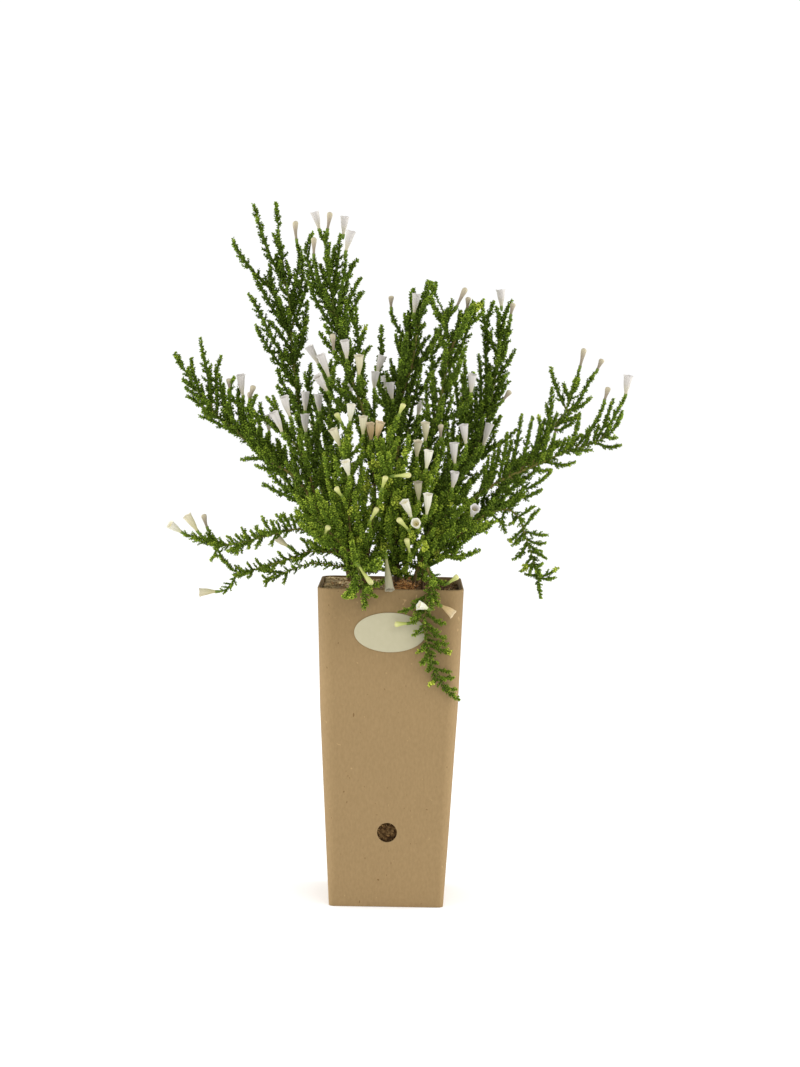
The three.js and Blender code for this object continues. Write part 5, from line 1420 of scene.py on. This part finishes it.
# Scale leaves straight on the wood and the shoots
def leavesOnLine(plant, spray, rng, style, line, start, foot, isWood):
    total = runOf(line)[-1]
    s = spacedFrom(start, total - 0.4, total, leaf["onWood"], style["scale"])
    if not len(s):
        return []
    points, ways = along(line, s)
    n, fromTip = len(s), total - s
    core = mix(twig["tip"], foot, np.clip(fromTip / total, 0, 1))
    angles = np.radians(leaf["turn"]) * np.arange(n) + rng.normal(size=n) * 0.25
    tilts = np.radians(mix(*leaf["tilt"], smooth(0.5, 9, fromTip)) + rng.normal(size=n) * 6)
    sizes = leaf["length"] * style["scale"] * rng.uniform(0.85, 1.15, n)
    sizes = sizes * mix(0.95, 1, smooth(0, 4, fromTip)) * (style["woodLeaf"] if isWood else 1)
    lighter, fade = leaf["tipYoung"]
    young = spray["young"] + lighter * np.exp(-fromTip / fade) + rng.normal(size=n) * 0.05
    young = np.maximum(young, limeAt(points) * rng.uniform(0.75, 1, n))
    bright = rng.uniform(0.3, 0.8, n)
    keep = clearOfHeads(points, -1.2) & ~hidesHead(points)
    keep &= ~isBare(points) | (plant["name"] in leafyFeet)
    base = points + outOf(ways, leaf["start"], angles) * (core * 0.6)[:, None]
    return [leafShapes(*(v[keep] for v in (base, ways, angles, sizes, tilts, young, bright)))]


# Short shoots, each a bent core with scale leaves all along it
def leavesOnShorts(plant, spray, rng, style, sprigs):
    points, ways, to, reach, fromTip, seen = (np.concatenate([s[k] for s in sprigs]) for k in range(6))
    ends = points + unit(to + ways * 0.12 + [0, 0, 0.1]) * reach[:, None]
    halfway = mix(points, ends, 0.5)
    keep = clearOfHeads(ends, 0.9) & clearOfHeads(halfway, 0.4)
    keep &= (plant["name"] in leafyFeet) | (~isBare(ends) & (seen | ~isOpen(ends)))
    keep &= ~hidesHead(ends) & ~hidesHead(halfway)
    points, ways, to, reach, fromTip, ends = (x[keep] for x in (points, ways, to, reach, fromTip, ends))
    bend = points + to * (reach * 0.55)[:, None]
    lime = limeAt(ends)
    young = spray["young"] + 0.2 * np.exp(-fromTip / 9) + rng.normal(size=len(points)) * 0.07
    young = np.maximum(young, lime * rng.uniform(0.65, 1.0, len(points)))
    bright = rng.uniform(0.35, 0.75, len(points))

    step = short["leafSpacing"] * style["scale"]
    count = np.ceil((reach - 0.3) / step).astype(int)
    k = np.arange(count.max())
    used = k < count[:, None]
    share = np.clip((0.4 + k * step) / reach[:, None], 0, 1)[..., None]
    a, b, c = points[:, None], bend[:, None], ends[:, None]
    at = a * (1 - share)**2 + b * 2 * share * (1 - share) + c * share**2
    way = unit((b - a) * (1 - share) + (c - b) * share)
    left = (1 - share[..., 0]) * reach[:, None]
    angles = np.radians(leaf["turn"]) * k + rng.uniform(0, 6.28, (len(points), 1))
    angles = angles + rng.normal(size=used.shape) * 0.3
    tilts = np.radians(mix(*leaf["tilt"], smooth(0.0, 2.5, left)) + rng.normal(size=used.shape) * 7)
    sizes = leaf["length"] * style["scale"] * rng.uniform(0.8, 1.12, used.shape)
    sizes = sizes * mix(0.75, 1, smooth(0, 2.5, left)) * (1 + short["limePlump"] * lime[:, None])
    lighter, fade = short["tipYoung"]
    youngs = young[:, None] + lighter * np.exp(-left / fade) + rng.normal(size=used.shape) * 0.04
    brights = bright[:, None] + rng.normal(size=used.shape) * 0.14
    tone = np.stack([young - 0.1, bright - 0.15], -1)[:, None]
    radii = np.array([0.45, 1, 0]) * short["core"] * style["scale"] * smooth(0.5, 4, reach)[:, None]
    return [leafShapes(*(v[used] for v in (at, way, angles, sizes, tilts, youngs, brights))),
            tubes(np.stack([points, bend, ends], 1), radii, 3, np.clip(tone, 0.01, 0.99))]


def foliageOf(plant, spray, rng):
    style = styleOf(plant["name"])
    twigs = np.array([shoot["line"][1::3] for shoot in plant["shoots"]])
    tone = np.array([spray["young"] - 0.08, 0.4]) + rng.normal(size=(*twigs.shape[:2], 2)) * 0.04
    radii = np.full(twigs.shape[:2], leaf["core"] * style["scale"])
    shapes, sprigs = [tubes(twigs, radii, 5, np.clip(tone, 0.01, 0.99))], []
    for line, start, foot, isWood, seen in linesOf(plant, spray, style):
        end = runOf(line)[-1] - short["from"]
        placed = placeShorts(rng, line, start if isWood else start + 2, end, isWood, style, seen)
        if placed:
            sprigs.append(placed)
        shapes += leavesOnLine(plant, spray, rng, style, line, start, foot, isWood)
    return shapes + leavesOnShorts(plant, spray, rng, style, sprigs)


def woodOf(plant, rng):
    stout = styleOf(plant["name"])["stout"]
    shapes = []
    for i, line in enumerate(plant["wood"]):
        n = len(line)
        share = runOf(line) / runOf(line)[-1]
        foot = woody["fork"] if i else woody["foot"]
        radii = mix(foot * stout, woody["tip"], share**0.8) * (1 + rng.normal(size=n) * 0.06)
        age = np.clip(mix(0.05 if i == 0 else 0.35, 1.0, share**0.9) + rng.normal(size=n) * 0.05, 0.01, 0.99)
        tone = np.stack([age, np.clip(rng.normal(0.5, 0.2, n), 0.01, 0.99)], -1)[None]
        ribs = 1 + rng.normal(size=woody["sides"]) * 0.07
        shapes.append(tubes(line[None], radii[None], woody["sides"], tone, ribs))
    lines = np.array([shoot["line"][::2] for shoot in plant["shoots"]])
    n = lines.shape[1]
    radii = np.linspace(twig["foot"], twig["tip"], n) * np.ones((len(lines), 1))
    age = np.linspace(0.62, 0.95, n) * np.ones((len(lines), 1)) + rng.normal(size=(len(lines), 1)) * 0.04
    tone = np.clip(np.stack([age, rng.uniform(0.3, 0.8, (len(lines), n))], -1), 0.01, 0.99)
    shapes.append(tubes(lines, radii, twig["sides"], tone))
    return shapes


thicket = {"halfWidth": 70, "top": 390}  # the part where the side shoots stand as close as thick says


def growMore(plant, spray, rng):  # further side shoots that run nearly along the wood
    style = styleOf(plant["name"])
    low, high = boxLow + 2.5, boxHigh - 2.5
    for i, line in enumerate(list(plant["wood"])):
        total = runOf(line)[-1]
        angle = rng.uniform(0, 360)
        s = (0.12 if i else spray["leafyFrom"]) * total + rng.uniform(0, 5)
        while s < total - 10:
            angle += leaf["turn"]
            reach = mix(style["length"], style["shortest"], s / total) * rng.uniform(0.7, 1.2)
            reach = min(reach, (total - s) * 0.85 + 4)
            point, way = (v[0] for v in along(line, np.array([s])))
            side = squareTo(way, np.array([0, 1.0, 0]))
            for turn in style["tries"]:
                a, lean = math.radians(angle + turn), math.radians(style["lean"] + rng.normal() * 4)
                out = side * math.cos(a) + np.cross(way, side) * math.sin(a)
                up = np.array([0, 0, style["lift"] * (1.05 - way[2])])
                to = unit(way * math.cos(lean) + out * math.sin(lean) + up)
                tip = point + to * reach
                ending = unit(mix(to, way, 0.5) + up + [0, 0, 0.15])
                run = bendLine(point, unit(mix(to, out, 0.35)), tip, ending, twig["steps"])
                inside = (tip > low).all() and (tip < high).all() and isOpen(run).mean() < openShare
                if inside and clearOfHeads(run[3:], style["room"]).all():
                    plant["shoots"].append({"line": run, "airy": True})
                    break
            middle = abs(point[0]) < thicket["halfWidth"] and point[2] < thicket["top"]
            thick = style["thick"] if middle else 1
            s += style["spacing"] * thick * rng.uniform(0.75, 1.25)


# The second ramp scales the brightness by v: a random tone for each leaf, and at its top end a painted
# highlight with a bluish sheen.
leafGreen = uvFinish("scaleLeaf", [(0, (0.024, 0.04, 0.003)), (0.3, (0.067, 0.11, 0.01)),
    (0.55, (0.142, 0.224, 0.019)), (0.78, (0.29, 0.39, 0.035)), (1, (0.52, 0.6, 0.07))],
    [(0, (0.5, 0.5, 0.5)), (0.5, (0.95, 0.95, 0.95)), (1, (1.65, 1.6, 1.9))], 0.75, 0.06)
stemBark = uvFinish("stemBark", [(0, (0.05, 0.026, 0.012)), (0.3, (0.1, 0.062, 0.02)),
    (0.6, (0.17, 0.14, 0.03)), (0.85, (0.15, 0.19, 0.03)), (1, (0.12, 0.2, 0.025))],
    [(0, (0.65, 0.65, 0.65)), (1, (1.3, 1.3, 1.3))], 0.7, 0.25)

leafCount = 0
for name, spray in sprays.items():
    rng = np.random.default_rng(spray["seed"])
    plant, stem = plants[name], "spray_" + name
    growMore(plant, spray, rng)
    makePiece("wood_" + name, woodOf(plant, rng), stemBark, [stem])
    green = makePiece("leaves_" + name, foliageOf(plant, spray, rng), leafGreen, [stem])
    leafCount += len(green.data.polygons)
print("foliage:", leafCount, "faces")


# Flowers: slim trumpets with a flared mouth of five shallow lobes, buds like clubs, and a green cup for each

trumpet = {
    "sides": 30, "lobes": 5, "lobeLift": 0.32, "lobeSwell": 0.045, "bend": 0.5, "edge": 3.4,
    # share of the length, and radius: up the outside, over the lip and down the throat
    "outside": [(0.01, 1.05), (0.1, 1.12), (0.2, 1.3), (0.3, 1.62), (0.4, 2.02), (0.5, 2.38), (0.61, 2.68),
                (0.73, 2.9), (0.84, 3.12), (0.92, 3.4), (0.97, 3.75), (0.995, 4.0)],
    "inside": [(1.0, 3.88), (0.985, 3.4), (0.95, 2.95), (0.89, 2.6), (0.82, 2.3), (0.74, 1.95), (0.66, 1.5),
               (0.6, 0.9), (0.56, 0)],
}
club = [(0, 0.85), (0.14, 0.92), (0.32, 1.06), (0.46, 1.28), (0.58, 1.55), (0.7, 1.86), (0.8, 2.06),
        (0.88, 2.06), (0.94, 1.75), (0.98, 1.0), (1.0, 0)]
cup = [(-2.4, 0.62), (-1.6, 0.95), (-0.4, 1.18), (0.8, 1.24), (1.7, 1.3), (1.5, 1.08), (0.6, 0.95), (0.3, 0)]
# Places of mouths, as seen from the front, whose flowers have aged.
creamPlaces = [(-156, 289), (-146, 230), (-27, 412), (24, 362), (19, 348), (-23, 366), (-88, 274), (-46, 356)]
tanPlaces = [(-18, 361), (-10, 362), (48, 216)]
dimPlaces = [(-1, 234), (19, 317)]  # these stand in the shade of the growth


def trumpetShape(rng, foot, mouth):
    mouth = np.clip(mouth, boxLow + trumpet["edge"], boxHigh - trumpet["edge"])
    length = np.linalg.norm(mouth - foot)
    size = rng.uniform(0.92, 1.0)
    profile = [(s * length, r * size) for s, r in trumpet["outside"] + trumpet["inside"]]
    lip = len(trumpet["outside"]) - 0.5
    turn = rng.uniform(0, 6.28)

    def lobed(a, k):
        near = math.exp(-((k - lip) / 2.0)**2)
        wave = np.cos(trumpet["lobes"] * a + turn) + 0.35 * np.cos(3 * a + turn * 2)
        return -near * trumpet["lobeLift"] * (1 - wave) * 0.6, 1 + near * trumpet["lobeSwell"] * (wave - 1.0)
    return turned(foot, mouth, profile, trumpet["sides"], lobed, trumpet["bend"] * rng.uniform(-1, 1))


def cupShape(foot, mouth):
    def teeth(a, k):
        return (0.5 * np.cos(5 * a) - 0.2 if k == 4 else 0 * a), 0 * a + 1
    way = unit(mouth - foot)
    return turned(foot, foot + way, cup, 15, teeth)


def clubShape(rng, foot, tip):
    length = np.linalg.norm(tip - foot)
    turn = rng.uniform(0, 6.28)

    def folds(a, k):  # the tips of the petals are folded in at the bud's end
        return 0 * a, 1 + 0.07 * smooth(5, 9, k) * np.cos(5 * a + turn)
    return turned(foot, tip, [(s * length, r) for s, r in club], 20, folds, rng.uniform(-0.5, 0.5))


def stigmaShape(foot, mouth):
    length = np.linalg.norm(mouth - foot)
    profile = [(0.56, 0), (0.57, 0.24), (0.72, 0.22), (0.75, 0.45), (0.79, 0.52), (0.82, 0.32), (0.83, 0)]
    return turned(foot, mouth, [(s * length, r) for s, r in profile], 10)


# Fine lengthwise streaks of a petal tube, round the flower
streaks = [(0, (0.97, 0.97, 0.97)), (0.12, (1.02, 1.02, 1.02)), (0.2, (0.92, 0.91, 0.91)),
           (0.3, (1.01, 1.01, 1.01)), (0.42, (0.94, 0.93, 0.94)), (0.55, (1.02, 1.02, 1.02)),
           (0.65, (0.91, 0.9, 0.9)), (0.8, (1.02, 1.02, 1.02)), (1, (0.94, 0.93, 0.93))]


def petalFinish(name, tube, bell, lipTint, throat):
    return uvFinish(name, [(0, tube), (0.14, mix(np.array(tube), np.array(bell), 0.5)), (0.3, bell),
        (0.52, lipTint), (0.7, lipTint), (0.85, mix(np.array(lipTint), np.array(throat), 0.55)), (1, throat)],
        streaks, 0.55, 0.3, across=True)


# Most throats are darker than their lips: partly the throat's own yellow and partly painted shade deep inside
# the tube.
petalTints = {  # tube, bell, lip and throat
    "fresh": ((0.46, 0.42, 0.25), (0.5, 0.472, 0.43), (0.58, 0.553, 0.52), (0.4, 0.35, 0.22)),
    # A lighter copy of the petals, as painted light, for the flowers in the full light; its pale throat is
    # painted light shining through the petals.
    "bright": ((0.5, 0.5, 0.25), (0.61, 0.595, 0.47), (0.7, 0.68, 0.57), (0.95, 0.86, 0.52)),
    # A darker copy of the petals, as painted shade, for the flowers in the shade of the growth.
    "shaded": ((0.3, 0.3, 0.12), (0.32, 0.3, 0.18), (0.33, 0.3, 0.21), (0.2, 0.16, 0.08)),
    "cream": ((0.44, 0.41, 0.18), (0.54, 0.5, 0.32), (0.62, 0.57, 0.41), (0.35, 0.24, 0.1)),
    "tan": ((0.44, 0.31, 0.12), (0.55, 0.4, 0.2), (0.62, 0.5, 0.31), (0.2, 0.1, 0.035)),
}
petals = {look: petalFinish("petal" + look.capitalize(), *tints) for look, tints in petalTints.items()}
cupGreen = uvFinish("calyxGreen", [(0, (0.07, 0.12, 0.01)), (0.5, (0.13, 0.19, 0.02)),
    (1, (0.23, 0.26, 0.05))], [(0, (0.9, 0.9, 0.9)), (1, (1.1, 1.1, 1.1))], 0.6, 0.3, across=True)
budTan = uvFinish("budTan", [(0, (0.2, 0.17, 0.1)), (0.3, (0.28, 0.235, 0.17)), (0.55, (0.39, 0.34, 0.24)),
    (0.8, (0.47, 0.42, 0.28)), (1, (0.38, 0.32, 0.24))], streaks, 0.6, 0.3, across=True)
budLime = uvFinish("budLime", [(0, (0.3, 0.36, 0.06)), (0.3, (0.42, 0.46, 0.12)), (0.7, (0.6, 0.6, 0.25)),
    (1, (0.5, 0.47, 0.2))], streaks, 0.6, 0.3, across=True)
stigmaTint = uvFinish("stigmaYellow", [(0, (0.3, 0.32, 0.08)), (1, (0.5, 0.45, 0.12))],
                      [(0, (1, 1, 1)), (1, (1, 1, 1))], 0.6, 0.3, across=True)


brightStems = ["front_bush", "front_left", "front_over", "front_droop", "low_left"]  # in the full light


def lookOf(name, mouth):
    flat = seenFromFront(mouth[None])[0]
    for look, places in (("tan", tanPlaces), ("cream", creamPlaces), ("shaded", dimPlaces)):
        if any(math.hypot(*(flat - place)) < 3.5 for place in places):
            return look
    return "bright" if name in brightStems else "fresh"


ownBlooms = 37  # so many flowers have a solid of their own, and the rest are part of their stem
made = 0
for name, plant in plants.items():
    rng = np.random.default_rng(sprays[name]["seed"] + 100)
    stem, flowers, buds = "spray_" + name, plant["flowers"], plant["buds"]
    for foot, mouth in flowers:
        made += 1
        stands = f"bloom_{made:02d}" if made <= ownBlooms else stem
        shape = trumpetShape(rng, foot, mouth)
        makePiece(f"trumpet_{made:02d}", [shape], petals[lookOf(name, mouth)], [stands])
    if flowers:
        makePiece("stigmas_" + name, [stigmaShape(*f) for f in flowers], stigmaTint, [stem])
    if buds:
        finish = budLime if name.startswith("front") else budTan
        makePiece("buds_" + name, [clubShape(rng, *b) for b in buds], finish, [stem])
    if flowers + buds:
        makePiece("cups_" + name, [cupShape(*f) for f in flowers + buds], cupGreen, [stem])
print("flowers:", made)


# The studio: a camera, three soft lights, a white surround and a pale floor

camera = {"x": 6.2, "y": -1689, "z": 397.5, "down": 4.065, "roll": 0.9, "lens": 75.24}
lights = {  # size, power, place and what it points at, in metres
    "keySoftbox": (1.2, 9, (0.9, -2.0, 1.6), (0, 0, 0.25)),
    "rightSoftbox": (1.0, 18, (1.7, 0.1, 0.7), (0, 0, 0.2)),
    "leftSoftbox": (1.0, 17, (-1.7, -0.1, 0.7), (0, 0, 0.2)),
}
studio = {"world": 1.03, "floor": 0.9, "floorGlow": 0.12, "floorSize": 14}


def makeStudio():
    scene = bpy.context.scene
    eyePiece = bpy.data.cameras.new("view")
    eyePiece.lens, eyePiece.sensor_width = camera["lens"], 36
    eyePiece.clip_end = 100
    looker = bpy.data.objects.new("view", eyePiece)
    place = Matrix.Translation((camera["x"] * mm, camera["y"] * mm, camera["z"] * mm))
    tilt = Matrix.Rotation(math.radians(90 - camera["down"]), 4, "X")
    looker.matrix_world = place @ tilt @ Matrix.Rotation(math.radians(camera["roll"]), 4, "Z")
    scene.collection.objects.link(looker)
    scene.camera = looker
    for name, (size, power, spot, target) in lights.items():
        lamp = bpy.data.lights.new(name, "AREA")
        lamp.shape, lamp.size, lamp.energy = "SQUARE", size, power
        box = bpy.data.objects.new(name, lamp)
        way = unit(np.array(spot) - target)
        side = unit(np.cross([0, 0, 1], way) if abs(way[2]) < 0.99 else np.array([1.0, 0, 0]))
        up = np.cross(way, side)
        box.matrix_world = Matrix.Translation(spot) @ Matrix(np.stack([side, up, way], 1).tolist()).to_4x4()
        scene.collection.objects.link(box)
    world = bpy.data.worlds.new("studioWhite")
    world.use_nodes = True
    world.node_tree.nodes["Background"].inputs["Color"].default_value = (1, 1, 1, 1)
    world.node_tree.nodes["Background"].inputs["Strength"].default_value = studio["world"]
    scene.world = world
    scene.view_settings.view_transform = "Standard"
    bpy.ops.mesh.primitive_plane_add(size=studio["floorSize"])
    floor = bpy.context.object
    floor.name = "studio_floor"
    material, tree, shader = newMaterial("paleFloor", 0.9, 0.1)
    shader.inputs["Base Color"].default_value = (studio["floor"],) * 3 + (1,)
    shader.inputs["Emission Color"].default_value = (1, 1, 1, 1)
    shader.inputs["Emission Strength"].default_value = studio["floorGlow"]
    floor.data.materials.append(material)


makeStudio()
